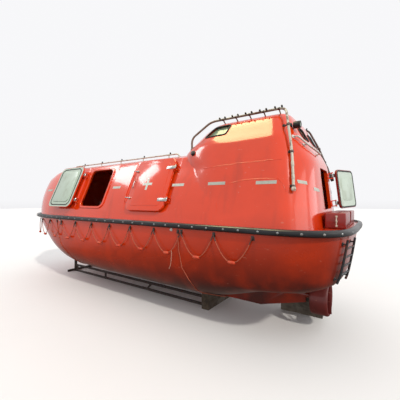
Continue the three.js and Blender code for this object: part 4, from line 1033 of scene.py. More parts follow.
def grab_line_path(side):
    """The grab line's route: one hanging loop between each pair of clips."""
    places = clip_places()
    reach = CLIP_DEPTH + LINE_RADIUS + LINE_CLEARANCE
    path = []
    for i, ((a, _), (b, _)) in enumerate(zip(places, places[1:])):
        for k in range(LOOP_STEPS + (i == len(places) - 2)):
            t = k / LOOP_STEPS
            point, out = hull_side(CLIP_HEIGHT, lerp(a.x, b.x, t))
            point = point + out * reach
            point.z -= LOOP_DROP * 4 * t * (1 - t)
            path.append(Vector((point.x, side * point.y, point.z)) * MM)
    return path


def rope_mesh(path, radius):
    """Rope tube with a UV map that runs along it, for its strands."""
    bm = pipe(bmesh.new(), path, radius, ROPE_SIDES)
    bm.verts.ensure_lookup_table()
    lengths = [0.0]
    for a, b in zip(path, path[1:]):
        lengths.append(lengths[-1] + (b - a).length)
    layer = bm.loops.layers.uv.new("rope")
    for face in bm.faces:
        for loop in face.loops:
            ring, spot = divmod(loop.vert.index, ROPE_SIDES)
            along = lengths[min(ring, len(lengths) - 1)]
            loop[layer].uv = (along / (radius * ROPE_LAY), spot / ROPE_SIDES)
    return bm


def stand_off(bm, tree, point, radius):
    """Stay from a bar behind the boat forward to its skin, on a round flange."""
    place, normal = land(tree, point, (1, 0, 0))
    rod(bm, point, place, 0.009, 12)
    rod(bm, place - normal * 0.002, place + normal * 0.006, radius, 16, 0.002)


# Settings that a user would change
def colour_setting(name, description, hex_colour):
    return FloatVectorProperty(name=name, description=description, subtype="COLOR", size=4,
                               min=0, max=1, default=linear(hex_colour))


def length_setting(name, description, default, low, high):
    return FloatProperty(name=name, description=description, subtype="DISTANCE", unit="LENGTH",
                         default=default, min=low, max=high)


class LifeboatColours(bpy.types.PropertyGroup):
    """Colours of the finishes."""

    moulding: colour_setting("Moulding", "Orange gelcoat of hull, canopy and tower", "#e03c09")
    gear: colour_setting("Stern gear", "Dark red gelcoat of nozzle, pedestals and door", "#951b10")
    pipes: colour_setting("Pipes", "Cream paint of the spray pipes", "#c9c4b2")
    floor: colour_setting("Floor", "Pale studio floor", "#f2f1ef")


class LifeboatSizes(bpy.types.PropertyGroup):
    """Sizes of the fittings that only the scene has, and the strength of the light."""

    tape_width: length_setting(
        "Tape width", "Height of a reflective strip on the upper works", 0.041, 0.01, 0.2)
    bolt_spacing: length_setting(
        "Fender bolt spacing", "Distance between the bolts along the fender", 0.235, 0.05, 1.0)
    float_length: length_setting(
        "Float length", "Length of the float at the bottom of each rope loop", 0.1, 0.03, 0.2)
    sun_power: FloatProperty(
        name="Sun strength", description="Strength of the sun lamp in watts per square metre",
        default=1.5, min=0, max=20,
    )
    sky_power: FloatProperty(
        name="Sky strength", description="Strength of the pale sky all round",
        default=0.95, min=0, max=5,
    )


class StagePiece(bpy.types.Operator):
    """Floor, pale sky, sun, soft panels that show as reflections, and the photo's camera"""

    bl_idname = "lifeboat.stage"
    bl_label = "Stage and camera"

    def execute(self, context):
        scene = context.scene
        sizes = scene.lifeboat_sizes
        camera = self.place(bpy.data.cameras.new("photo_camera"), CAMERA_PLACE, CAMERA_AXIS)
        camera.data.lens, camera.data.sensor_width = CAMERA_LENS, CAMERA_SENSOR
        camera.data.clip_end = 200
        scene.camera = camera
        bm = bmesh.new()
        bmesh.ops.create_grid(bm, x_segments=2, y_segments=2, size=FLOOR_HALF)
        bmesh.ops.translate(bm, vec=(0, 0, -FLOOR_DROP), verts=bm.verts)
        floor = loose(bm, "studio_floor", recalc=False)
        floor.data.materials.append(FINISHES["floor"])
        floor.visible_diffuse = floor.visible_glossy = floor.visible_shadow = False
        scene.world = self.sky(sizes.sky_power)
        scene.view_settings.view_transform = "Standard"
        sun = self.place(bpy.data.lights.new("sun", "SUN"), SUN_PLACE, SUN_AIM)
        sun.data.energy, sun.data.angle, sun.data.color = sizes.sun_power, SUN_WIDTH, SUN_COLOUR
        for name, place, target, size, power, colour in SOFT_PANELS:
            way = Vector(target) - Vector(place)
            lamp = self.place(bpy.data.lights.new(name, "AREA"), place, way)
            lamp.data.shape, lamp.data.size, lamp.data.size_y = "RECTANGLE", *size
            lamp.data.energy, lamp.data.color = power, colour
            lamp.visible_diffuse = lamp.visible_camera = False
        return {"FINISHED"}

    def sky(self, power):
        """White sky over a dim ground, which keeps the underside of the boat in shade."""
        world = bpy.data.worlds.new("pale_sky")
        world.use_nodes = True
        tree = world.node_tree
        place = add_node(tree, "ShaderNodeTexCoord").outputs["Generated"]
        height = add_node(tree, "ShaderNodeSeparateXYZ", {"Vector": place}).outputs["Z"]
        above = add_node(tree, "ShaderNodeMapRange", {"Value": height, "From Min": -0.4, "From Max": 0.0})
        tone = stain(tree, above.outputs["Result"], 1.0, linear("#6e655e"), linear("#fdfdff"))
        background = tree.nodes["Background"]
        tree.links.new(tone, background.inputs["Color"])
        background.inputs["Strength"].default_value = power
        return world

    def place(self, data, location, looks):
        """Links a camera or lamp at a place, looking along a direction."""
        obj = bpy.data.objects.new(data.name, data)
        obj.location = location
        obj.rotation_mode = "QUATERNION"
        obj.rotation_quaternion = Vector(looks).to_track_quat("-Z", "Y")
        bpy.context.scene.collection.objects.link(obj)
        return obj


class GrabLinesPiece(bpy.types.Operator):
    """Looped grab lines on both sides, sleeved at the clips, with a float at the bottom of each loop"""

    bl_idname = "lifeboat.grab_lines"
    bl_label = "Grab lines"

    def execute(self, context):
        float_length = context.scene.lifeboat_sizes.float_length
        radius = LINE_RADIUS * MM
        for name, side in SIDES:
            path = grab_line_path(side)
            rope = finish_piece(rope_mesh(path, radius), f"grab_rope_{name}", "root", "rope", 60,
                                (f"grab_line_{name}",), recalc=False)
            floats, sleeves = bmesh.new(), bmesh.new()
            for first in range(0, len(path) - 1, LOOP_STEPS):
                last = first + LOOP_STEPS
                low = (first + last) // 2
                along = (path[low + 1] - path[low - 1]).normalized()
                profile = [(radius * 1.02, -0.5), (0.015, -0.48), (0.022, -0.36), (0.024, 0.0),
                           (0.022, 0.36), (0.015, 0.48), (radius * 1.02, 0.5)]
                rows = [(r, z * float_length) for r, z in profile]
                turned(floats, [*rows, rows[0]], aim(along, path[low]), 16)
                for start, end in ((first, first + 1), (last, last - 1)):
                    pipe(sleeves, [path[start], path[start].lerp(path[end], 0.9)], radius + 0.001, 10)
            beads = finish_piece(floats, f"rope_floats_{name}", "root", "float", 40)
            strops = finish_piece(sleeves, f"rope_sleeves_{name}", "root", "brown", 50)
        return {"FINISHED"}


class KeelLinesPiece(bpy.types.Operator):
    """Keel lines drawn tight under the boat, and the loose end on the port grab line"""

    bl_idname = "lifeboat.keel_lines"
    bl_label = "Keel lines"

    def execute(self, context):
        for end, rows in KEEL_LINES:
            port = [m(*row) for row in rows]
            starboard = [Vector((p.x, -p.y, p.z)) for p in reversed(port)]
            path = port + starboard
            self.line(f"keel_rope_{end}", f"keel_line_{end}", path, LINE_RADIUS, "rope", "object")
        tail = [m(*row) for row in LINE_TAIL]
        self.line("grab_rope_tail", "line_tail_port", tail, TAIL_RADIUS, "tail", "bare")
        return {"FINISHED"}

    def line(self, name, node, path, radius, finish, far_end):
        rope = finish_piece(rope_mesh(path, radius * MM), name, "root", finish, 60,
                            (node,), recalc=False)


class HullPiece(bpy.types.Operator):
    """Smooth hull moulding with keel and skeg, gunwale deck, line clips and eyes"""

    bl_idname = "lifeboat.hull"
    bl_label = "Hull and deck"

    def execute(self, context):
        hull = loose(hull_solid(), "hull_moulding")
        apply_boolean(hull, self.fin(), "UNION")
        inside = loose(hull_solid(HULL_WALL, HULL_TOP + 40), "hull_inside")
        apply_boolean(hull, inside, "DIFFERENCE")
        adopt(hull, "root", "orange", 28, ("hull_shell",))
        self.deck()
        self.clips()
        self.eyes()
        return {"FINISHED"}

    def fin(self):
        """Keel and skeg in one plate, with the bosses of the shaft and of the nozzle's stock."""
        outline = ((2500, 140), (2760, 330), (-1000, 330), (-2980, 760), (-2980, 324), (-2290, 140))
        bm = bmesh.new()
        face = bm.faces.new([bm.verts.new(m(x, -38, z)) for x, z in outline])
        thicken(bm, face, m(0, 76, 0))
        sides = [e for e in bm.edges if abs(e.verts[0].co.y - e.verts[1].co.y) < 1e-6]
        bevelled(bm, sides, 12 * MM, 3)
        fin = loose(bm, "keel_fin")
        for start, end, radius in ((m(-2720, 0, SHAFT_Z), m(-3030, 0, SHAFT_Z), 40 * MM),
                                   (m(NOZZLE_X, 0, 700), m(NOZZLE_X, 0, 790), 48 * MM)):
            bm = bmesh.new()
            rod(bm, start, end, radius, 32, 5 * MM)
            apply_boolean(fin, loose(bm, "boss"), "UNION")
        return fin

    def deck(self):
        outline = hull_outline(*HULL_LEVELS[-1][1:])
        deck = loose(stack((HULL_TOP + SEAT_GAP, DECK_TOP), (outline, outline)), "gunwale_deck")
        for solid in (canopy_solid, tower_solid):
            apply_boolean(deck, loose(solid(DECK_HOLE, HULL_TOP - OVERCUT), "hole"), "DIFFERENCE")
        adopt(deck, "root", "orange", 30, ("deck",))

    def on_side(self, point, out, side):
        """Frame on the hull side: local Y outwards, Z up."""
        turn = Matrix.Rotation(math.atan2(-out.x, side * out.y), 4, "Z")
        return Matrix.Translation(Vector((point.x, side * point.y, point.z)) * MM) @ turn

    def clips(self):
        """Clips of the grab lines and of the keel lines: a plate with a raised saddle."""
        bm = bmesh.new()
        keel_clips = [hull_side(CLIP_HEIGHT, rows[0][0]) for _, rows in KEEL_LINES]
        for side in (1, -1):
            for point, out in clip_places() + keel_clips:
                place = self.on_side(point, out, side)
                block(bm, m(-23, -20, -30), m(23, 5, 30), 3 * MM, place)
                block(bm, m(-13, 4, -22), m(13, 15.5, 22), 4 * MM, place)
        finish_piece(bm, "line_clips", "root", "brown", 40)

    def eyes(self):
        """White sheaved eyes under the fender, two on each side."""
        bm = bmesh.new()
        for x, z in ((1687, 1400), (-1406, 1396)):
            for side in (1, -1):
                place = self.on_side(*hull_side(z, x), side)
                face = place @ m(0, 14, 0)
                rod(bm, place @ m(0, -20, 0), face, 0.023, 24, 0.004)
                dome(bm, face, place.to_3x3() @ Vector((0, 1, 0)), 0.011, 0.006, 16)
        finish_piece(bm, "gunwale_eyes", "root", "white", 40)


class FenderPiece(bpy.types.Operator):
    """Rubber fender round the gunwale with its through bolts"""

    bl_idname = "lifeboat.fender"
    bl_label = "Fender"

    def execute(self, context):
        rim = HULL_LEVELS[-1]
        profile = ((-38, 0.4), (-38, 27), (-34, 40), (-24, 50), (-9, 52.5), (9, 52.5), (24, 50), (34, 40),
                   (38, 27), (38, 0.4))
        loops = [loop_at(SHEER + dz, hull_outline(*rim[1:], points=110, out=out)) for dz, out in profile]
        bm = bmesh.new()
        skin(bm, [*loops, loops[0]], caps=False)
        finish_piece(bm, "rubber_fender", "root", "fender", 35, ("fender",))
        self.bolts(rim, context.scene.lifeboat_sizes.bolt_spacing)
        return {"FINISHED"}

    def bolts(self, rim, spacing):
        line = loop_at(SHEER, hull_outline(*rim[1:], points=400, out=FENDER_DEPTH))
        start = next(i for i, p in enumerate(line) if p.x < FIRST_BOLT_X * MM)
        line = line[start:] + line[:start]
        washer = [(0, 0), (0.012, 0), (0.014, -0.001), (0.014, -0.004), (0, -0.004)]
        bm = bmesh.new()
        walked = 0.0
        for a, b, c in zip(line[-1:] + line, line, line[1:] + line[:1]):
            if walked <= 0:
                along = (c - a).normalized()
                out = Vector((along.y, -along.x, 0))
                if out.dot(b) < 0:
                    out.negate()
                turned(bm, washer, aim(out, b - out * 0.0006), 16)
                dome(bm, b - out * 0.0018, out, 0.008, 0.0018, 12)
                walked += spacing
            walked -= (c - b).length
        finish_piece(bm, "fender_bolts", "root", "steel", 40, recalc=False)


class UpperPiece(bpy.types.Operator):
    """Canopy and tower moulding with hatch recesses, openings, creases, window rubbers and hinge lugs"""

    bl_idname = "lifeboat.upper"
    bl_label = "Canopy and tower"

    def execute(self, context):
        shell = upper_works(0.0, DECK_TOP + SEAT_GAP, "canopy_and_tower")
        cuts = []
        for _, _, side, x, _, _ in HATCHES:
            place = hatch_matrix(side, x)
            recess = boxed("recess", m(-528, -550, 0), m(528, 550, 200), 30 * MM, place, segments=4)
            apply_boolean(shell, recess, "DIFFERENCE")
            cuts.append(self.opening(HATCH_OPENING, place))
        inside = upper_works(UPPER_WALL, DECK_TOP - OVERCUT, "inside")
        apply_boolean(shell, inside, "DIFFERENCE")
        cuts.append(self.opening(DOORWAY, door_matrix()))
        cuts += [loose(self.prism(*row), "window_hole") for row in self.windows()]
        for cut in cuts:
            apply_boolean(shell, cut, "DIFFERENCE")
        adopt(shell, "root", "orange", 26, ("canopy_shell", "tower_shell", "tower_sill"))
        self.frames()
        self.gaskets()
        self.creases()
        return {"FINISHED"}

    def opening(self, size, place):
        """Rounded block that cuts a hatch opening or the doorway."""
        bm = bmesh.new()
        slab(bm, *size, *CUT_REACH, place)
        return loose(bm, "opening")

    def windows(self):
        """Each window: axis that it is cut along, end or side that it is on, corners across that axis."""
        rows = [("Y", side, SIDE_WINDOW) for side in (1, -1)]
        for end, corners in ((1, FRONT_WINDOW), (-1, AFT_WINDOW)):
            rows += [("X", end, tuple((side * y, z) for y, z in corners)) for side in (1, -1)]
        return rows

    def prism(self, axis, side, corners):
        """Block with rounded corners that cuts one window."""
        bm = bmesh.new()
        if axis == "Y":
            near, far = sorted((side * 200, side * 1200))
            low = [bm.verts.new(m(x, near, z)) for x, z in corners]
            depth = m(0, far - near, 0)
        else:
            near, far = (-1900, -1100) if side > 0 else (-3300, -2600)
            low = [bm.verts.new(m(near, y, z)) for y, z in corners]
            depth = m(far - near, 0, 0)
        bm.faces.new(low)
        bevelled(bm, low, 24 * MM, 4, "VERTICES")
        thicken(bm, next(iter(bm.faces)), depth)
        return bm

    def gaskets(self):
        """Rubber glazing strip that follows the skin round each window."""
        bm = bmesh.new()
        for axis, side, corners in self.windows():
            path = []
            count = len(corners)
            for i in range(count):
                before, here, after = (Vector((*corners[(i + k) % count], 0)) for k in (-1, 0, 1))
                start = here + (before - here).normalized() * WINDOW_CORNER
                end = here + (after - here).normalized() * WINDOW_CORNER
                path += [bend(start, here, end, k / 4) for k in range(5)]
                reach = (after - here).normalized() * ((after - here).length - 2 * WINDOW_CORNER)
                path += [end + reach * k / 5 for k in range(1, 5)]
            on_skin = []
            for point in path:
                if axis == "Y":
                    start, way = m(point.x, side * SIDE_START, point.y), (0, -side, 0)
                else:
                    start, way = m(side * 1000 - 2200, point.x, point.y), (-side, 0, 0)
                place, normal = land(upper_skin(), start, way)
                on_skin.append(place + normal * 0.002)
            closed_pipe(bm, on_skin, 0.011, 8)
        finish_piece(bm, "window_gaskets", "root", "seal", 60)

    def creases(self):
        """Shallow beads where the mould's panels join, along the tower's sides and round its corners."""
        bm = bmesh.new()
        for side in (1, -1):
            for way in CREASES:
                path = []
                for x, z in densified(way, 8):
                    place, normal = land(upper_skin(), m(x, side * SIDE_START, z), (0, -side, 0))
                    path.append(place - normal * 0.0015)
                pipe(bm, path, 0.005, 8)
        finish_piece(bm, "mould_creases", "root", "orange", 60)

    def frames(self):
        """Raised rims round the openings and the lugs of the hinges."""
        bm = bmesh.new()
        for _, _, side, x, edge, _ in HATCHES:
            place = hatch_matrix(side, x)
            ring_plate(bm, HATCH_RIM, HATCH_OPENING, -0.02, 0.02, place, 0.006)
            self.lugs(bm, place, -side * edge * HINGE_X, HINGE_LIFT, HINGE_HEIGHT)
        self.lugs(bm, door_matrix(), DOOR_HINGE_X, DOOR_HINGE_LIFT, DOOR_HINGE_HEIGHT)
        finish_piece(bm, "hatch_rims_and_lugs", "root", "orange", 35)

    def lugs(self, bm, place, hinge_x, lift, reach):
        """Forked lugs that carry a hinge's two pins, with the pins' nuts."""
        for y in (-reach, reach):
            block(bm, m(hinge_x - 16, y - 46, -14), m(hinge_x + 16, y + 46, 8), 2 * MM, place)
            for end in (-1, 1):
                near, far = sorted((y + end * 32.5, y + end * 46))
                block(bm, m(hinge_x - 14, near, -14), m(hinge_x + 14, far, lift + 14), 5 * MM, place, 3)
                cap = y + end * 46
                rod(bm, place @ m(hinge_x, cap, lift), place @ m(hinge_x, cap + end * 5, lift),
                    0.012, 6, 0.0015)


class HatchesPiece(bpy.types.Operator):
    """Four side hatches and the stern door: crowned panels, liners, seals, hinge straps and dogs"""

    bl_idname = "lifeboat.hatches"
    bl_label = "Hatches and door"

    def execute(self, context):
        for name, body, side, x, edge, is_open in HATCHES:
            pin = (-side * edge * HINGE_X, HINGE_LIFT, HINGE_HEIGHT)
            place = hinged(hatch_matrix(side, x), pin[0], HINGE_LIFT, math.pi if is_open else 0.0)
            self.panel(name, body, place, HATCH_PANEL, pin, "orange", HATCH_SEAL)
        pin = (DOOR_HINGE_X, DOOR_HINGE_LIFT, DOOR_HINGE_HEIGHT)
        place = hinged(door_matrix(), DOOR_HINGE_X, DOOR_HINGE_LIFT, DOOR_OPEN)
        self.panel("aft_door", "stern_door", place, DOOR_PANEL, pin, "red", DOOR_SEAL)
        return {"FINISHED"}

    def panel(self, name, body, place, size, pin, finish, seal):
        """Panel with a raised middle, its liner with a shallow pan, its seal and its ironwork."""
        width, height, radius, lift, thick = (v * MM for v in size)
        high = lift + thick
        bm = bmesh.new()
        slab(bm, width, height, radius, lift, high, place, 0.012, 8)
        slab(bm, width - 0.15, height - 0.16, radius - 0.03, high - 0.002, high + 0.0045, place, 0.004, 8)
        finish_piece(bm, name + "_skin", body, finish, 35, (name,), recalc=False)
        bm = bmesh.new()
        slab(bm, width - 0.016, height - 0.016, radius - 0.006, lift - 0.0006, lift + 0.004, place, 0, 8)
        depth = 0.016 if lift > 0.02 else 0.004
        slab(bm, width - 0.25, height - 0.23, radius - 0.03, lift, lift - depth, place, 0.005, 8)
        finish_piece(bm, name + "_liner", body, "liner", 35)
        bm = bmesh.new()
        inner = (seal[0] - 0.04, seal[1] - 0.04, seal[2] - 0.02)
        ring_plate(bm, seal, inner, lift - 0.0052, lift + 0.001, place, 0.002)
        finish_piece(bm, name + "_seal", body, "seal", 50)
        self.ironwork(name, body, place, size, pin)

    def ironwork(self, name, body, place, size, pin):
        """Pins, hinge straps with their bolts, two dogs and a grab handle."""
        hinge_x, lift, reach = pin
        face = size[3] + size[4]
        inward = -math.copysign(1, hinge_x)
        edge = math.copysign(size[0] / 2, hinge_x)
        out = place.to_3x3() @ Vector((0, 0, 1))
        bm = bmesh.new()
        for y in (-reach, reach):
            rod(bm, place @ m(hinge_x, y - 32, lift), place @ m(hinge_x, y + 32, lift), 0.011, 20, 0.0015)
            near, far = sorted((hinge_x, edge + inward * 150))
            block(bm, m(near, y - 27, face - 1), m(far, y + 27, face + 8), 2.5 * MM, place)
            for step in (40, 85, 130):
                dome(bm, place @ m(edge + inward * step, y, face + 8), out, 0.009, 0.006)
        free = -edge - inward * 62
        for y in (-0.27 * size[1], 0.27 * size[1]):
            self.dog(bm, place, free, y, face, inward)
        grip = [m(free - inward * 6, y, face + z) for y, z in ((-60, 0), (-60, 24), (60, 24), (60, 0))]
        pipe(bm, [place @ p for p in rounded_path(grip, 0.016)], 0.006, 10)
        finish_piece(bm, name + "_ironwork", body, "steel", 45)

    def dog(self, bm, place, x, y, face, inward):
        """Cleat handle that draws the panel shut, with its spindle boss."""
        rod(bm, place @ m(x, y, face - 1), place @ m(x, y, face + 12), 0.019, 20, 0.002)
        rod(bm, place @ m(x, y, face + 11), place @ m(x, y, face + 21), 0.011, 16, 0.002)
        bends = ((0, 0, 17), (50, 4, 19), (104, 10, 15))
        lever = [m(x + inward * along, y + rise, face + lift) for along, rise, lift in bends]
        pipe(bm, [place @ p for p in rounded_path(lever, 0.03)], 0.0075, 10)


class PanesPiece(bpy.types.Operator):
    """Acrylic panes in the tower's windows"""

    bl_idname = "lifeboat.panes"
    bl_label = "Window panes"

    def execute(self, context):
        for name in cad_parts:
            if name.startswith("window_"):
                repaint(name, "window")
        return {"FINISHED"}


class SprayPipesPiece(bpy.types.Operator):
    """Spray rails on the canopy and spray pipes over the tower, with clamps and nozzles"""

    bl_idname = "lifeboat.spray_pipes"
    bl_label = "Spray pipes"

    def execute(self, context):
        for name, side in SIDES:
            self.rail(name, side)
        for row in PIPE_ENDS:
            self.tower_pipe(*row)
        return {"FINISHED"}

    def foot(self, bm, point, direction, radius):
        """Flange where a pipe or stay meets the moulding."""
        place, normal = land(upper_skin(), point, direction)
        rod(bm, place - normal * 0.002, place + normal * 0.007, radius, 20, 0.002)
        return place

    def nozzle(self, bm, start, end):
        """Spray nozzle: a short stem with a hexagon collar."""
        rod(bm, start, end, 0.0085, 10)
        rod(bm, start.lerp(end, 0.4), start.lerp(end, 0.9), 0.0125, 6)

    def rail(self, name, side):
        """Rail along the canopy's shoulder, on posts, with a nozzle at each."""
        bm, jets = bmesh.new(), bmesh.new()
        ends = [self.foot(bm, m(x, side * 560, 2700), (0, 0, -1), 0.03) for x in (2140, -1050)]
        path = [ends[0], m(2130, side * 560, 2618), m(-1000, side * 560, 2618), ends[1]]
        pipe(bm, rounded_path(path, 0.06), 0.013, 14)
        for x in RAIL_POSTS:
            low = self.foot(bm, m(x, side * 560, 2610), (0, 0, -1), 0.024)
            rod(bm, low, m(x, side * 560, 2606), 0.008, 12)
            rod(bm, m(x - 14, side * 560, 2618), m(x + 14, side * 560, 2618), 0.0165, 14, 0.002)
            self.nozzle(jets, m(x - 40, side * 560, 2618), m(x - 40, side * 575, 2655))
        finish_piece(bm, f"spray_rail_{name}_pipe", "root", "cream", 45,
                     (f"spray_rail_{name}",))
        finish_piece(jets, f"spray_rail_{name}_nozzles", "root", "black_plastic", 45)

    def tower_pipe(self, name, side, aft, down, finish):
        """Pipe over the tower's roof and down its aft corner, with posts, clamps, sleeves and a cup."""
        down = [m(x, side * y, z) for x, y, z in down]
        bm, jets, clamps = bmesh.new(), bmesh.new(), bmesh.new()
        foot = self.foot(bm, m(-1400, side * 690, 2900), (0, 0, -1), 0.034)
        path = [foot, m(-1400, side * 690, 2800), m(-1740, side * PIPE_Y, PIPE_HEIGHT),
                m(aft, side * PIPE_Y, PIPE_HEIGHT), *down]
        pipe(bm, rounded_path(path, 0.09), 0.016, 16)
        for x in PIPE_POSTS:
            low, _ = land(upper_skin(), m(x, side * 585, 3200), (0, 0, -1))
            rod(bm, low, m(x, side * PIPE_Y, PIPE_HEIGHT), 0.009, 12)
            collar = [m(x + step, side * PIPE_Y, PIPE_HEIGHT) for step in (-13, 13)]
            rod(clamps, *collar, 0.0195, 16, 0.002)
            for step in (-45, 45):
                tip = m(x + step, side * (PIPE_Y + 35), PIPE_HEIGHT + 29)
                self.nozzle(jets, m(x + step, side * PIPE_Y, PIPE_HEIGHT), tip)
        along = (down[-1] - down[-2]).normalized()
        for here in (down[0], down[1], down[-1] - along * 0.05):
            inward = Vector((0.75, -side * 0.62, 0.05)).normalized()
            hit = upper_skin().ray_cast(here, inward)[0]
            rod(clamps, here - along * 0.015, here + along * 0.015, 0.022, 16, 0.002)
            rod(clamps, here, hit, 0.009, 12)
            rod(clamps, hit - inward * 0.006, hit, 0.024, 16, 0.002)
        for share in (0.33, 0.66):
            here = down[-2].lerp(down[-1], share)
            rod(bm, here - along * 0.03, here + along * 0.03, 0.019, 16, 0.003)
        cup = [(0, -0.045), (0.02, -0.043), (0.026, -0.034), (0.026, -0.004), (0.021, 0),
               (0.021, 0.004), (0, 0.004)]
        turned(bm, cup, aim(along, down[-1]), 24)
        finish_piece(bm, f"spray_pipe_{name}_pipe", "root", finish, 45,
                     (f"spray_pipe_{name}",))
        finish_piece(clamps, f"spray_pipe_{name}_clamps", "root", "brown", 45)
        finish_piece(jets, f"spray_pipe_{name}_nozzles", "root", "black_plastic", 45)


class SternGearPiece(bpy.types.Operator):
    """Bronze propeller and steering nozzle with its stock and vane"""

    bl_idname = "lifeboat.stern_gear"
    bl_label = "Propeller and nozzle"

    def execute(self, context):
        self.propeller()
        self.nozzle()
        return {"FINISHED"}

    def propeller(self):
        centre = Matrix.Translation(m(PROPELLER_X, 0, SHAFT_Z))
        bm = bmesh.new()
        profile = [(0, -70), (14, -69), (22, -64), (30, -52), (34, -40), (37, -10), (38, 20), (35, 38),
                   (30, 47), (20, 50), (20, 129), (0, 129)]
        turned(bm, [(r * MM, z * MM) for r, z in profile], centre @ Matrix.Rotation(math.pi / 2, 4, "Y"), 40)
        for k in range(4):
            turn = centre @ Matrix.Rotation(k * math.pi / 2 + math.pi / 4, 4, "X")
            skin(bm, [self.blade_section(turn, step / 12) for step in range(13)])
        finish_piece(bm, "bronze_propeller", "screw", "bronze", 50, ("propeller",), recalc=False)

    def blade_section(self, turn, t):
        """Lens-shaped section of a blade, at a share of the way from the hub to the tip."""
        half = 12 + 56 * math.sin(math.pi * min(1.0, 0.22 + 0.78 * t)) ** 0.6 * (1 - 0.25 * t)
        pitch = math.radians(lerp(58, 22, t**0.7))
        thick = lerp(5.0, 1.2, t)
        section = []
        for spot in range(16):
            a = 2 * math.pi * spot / 16
            c, d = half * math.cos(a), thick * math.sin(a) - 6 * t * math.cos(a) ** 2
            section.append(turn @ m(c * math.sin(pitch) + d * math.cos(pitch),
                                    c * math.cos(pitch) - d * math.sin(pitch), lerp(30, 190, t)))
        return section

    def nozzle(self):
        centre = Matrix.Translation(m(NOZZLE_X, 0, SHAFT_Z))
        bm = bmesh.new()
        profile = [(207, -103), (209, -111), (214, -115), (222, -115), (232, -108), (239, -95),
                   (240, -60), (240, 85), (238, 100), (232, 113), (226, 115), (219, 113), (210, 96),
                   (207, 75), (207, -103)]
        turned(bm, [(r * MM, z * MM) for r, z in profile], centre @ Matrix.Rotation(math.pi / 2, 4, "Y"), 96)
        finish_piece(bm, "nozzle_ring", "nozzle", "red", 40, ("steering_nozzle",))
        bm = bmesh.new()
        rod(bm, centre @ m(0, 0, 226), centre @ m(0, 0, 269.7), 0.03, 32, 0.003)
        rod(bm, centre @ m(0, 0, 232), centre @ m(0, 0, 248), 0.046, 32, 0.004)
        block(bm, m(-135, -7, -212), m(-79, 7, 212), 5 * MM, centre, 3)
        for turn in range(6):
            angle = turn * math.pi / 3
            spot = centre @ m(36 * math.cos(angle), 36 * math.sin(angle), 248)
            rod(bm, spot, spot + m(0, 0, 5), 0.005, 6)
        finish_piece(bm, "nozzle_stock_and_vane", "nozzle", "red", 40)


class HookGearPiece(bpy.types.Operator):
    """Pedestals on the fore and aft decks with the release hooks in their slots"""

    bl_idname = "lifeboat.hook_gear"
    bl_label = "Hooks and pedestals"

    def execute(self, context):
        for end, sign, inner, outer, half in PEDESTALS:
            near, far = sorted((sign * inner, sign * outer))
            low, high = m(near, -half, DECK_TOP + SEAT_GAP), m(far, half, PEDESTAL_TOP)
            stand = boxed(f"pedestal_{end}", low, high, 14 * MM, segments=4)
            near, far = sorted((sign * (inner + 20), sign * (outer + 50)))
            slot = boxed("hook_slot", m(near, -75, HOOK_FLOOR), m(far, 75, 1750), 6 * MM, segments=3)
            apply_boolean(stand, slot, "DIFFERENCE")
            adopt(stand, "root", "red", 35, (f"hook_pedestal_{end}",))
            centre = m(sign * (inner + outer + 20) / 2, 0, HOOK_FLOOR + SEAT_GAP)
            self.hook(end, Matrix.Translation(centre))
        self.bottle_screw()
        return {"FINISHED"}

    def hook(self, end, place):
        """Release hook cut from plate, on its bolted sole, with its pin."""
        outline = [(-70, 0), (70, 0), (62, 60)]
        for radius, start, finish in ((62, -0.28, 0.62 * math.pi), (30, 0.62 * math.pi, -0.9)):
            for k in range(13):
                turn = lerp(start, finish, k / 12)
                outline.append((radius * math.cos(turn), 78 + radius * math.sin(turn)))
            outline.append((-10, 112) if radius > 40 else (-40, 46))
        bm = bmesh.new()
        face = bm.faces.new([bm.verts.new(place @ m(x, -20, z)) for x, z in outline])
        thicken(bm, face, m(0, 40, 0))
        block(bm, m(-92, -60, 0), m(92, 60, 16), 3 * MM, place)
        for x in (-78, 78):
            for y in (-44, 44):
                rod(bm, place @ m(x, y, 15), place @ m(x, y, 24), 0.009, 6, 0.001)
        rod(bm, place @ m(-34, -27, 60), place @ m(-34, 27, 60), 0.012, 20, 0.002)
        finish_piece(bm, f"release_hook_{end}_steel", "root", "steel", 35,
                     (f"release_hook_{end}",))

    def bottle_screw(self):
        """Bottle screw on the port face of the aft pedestal."""
        bm = bmesh.new()
        for low, high, radius in ((1500, 1522, 13), (1522, 1612, 7), (1556, 1578, 12), (1612, 1634, 13)):
            rod(bm, m(SCREW_X, SCREW_Y, low), m(SCREW_X, SCREW_Y, high), radius * MM, 16, 0.002)
        for z in (1508, 1624):
            rod(bm, m(SCREW_X, SCREW_FOOT_Y, z), m(SCREW_X, SCREW_Y, z), 0.007, 12)
        finish_piece(bm, "pedestal_bottle_screw", "root", "cream", 40)


class LadderPiece(bpy.types.Operator):
    """Steel ladder on the port quarter"""

    bl_idname = "lifeboat.ladder"
    bl_label = "Stern ladder"

    def execute(self, context):
        tree = hull_skin()
        bm = bmesh.new()
        stiles = []
        for y in LADDER_STILES:
            hull = [land(tree, m(LADDER_START, y, z), (1, 0, 0))[0] for z in LADDER_HEIGHTS]
            path = [point - m(LADDER_STAND_OFF, 0, 0) for point in hull]
            pipe(bm, path, 0.013, 14)
            stiles.append(path)
            for k in (1, 9):
                stand_off(bm, tree, path[k], 0.024)
        for k in (2, 4, 6, 8):
            rod(bm, stiles[0][k], stiles[1][k], 0.0115, 14)
        finish_piece(bm, "stern_ladder_bars", "root", "dark", 45, ("stern_ladder",))
        return {"FINISHED"}


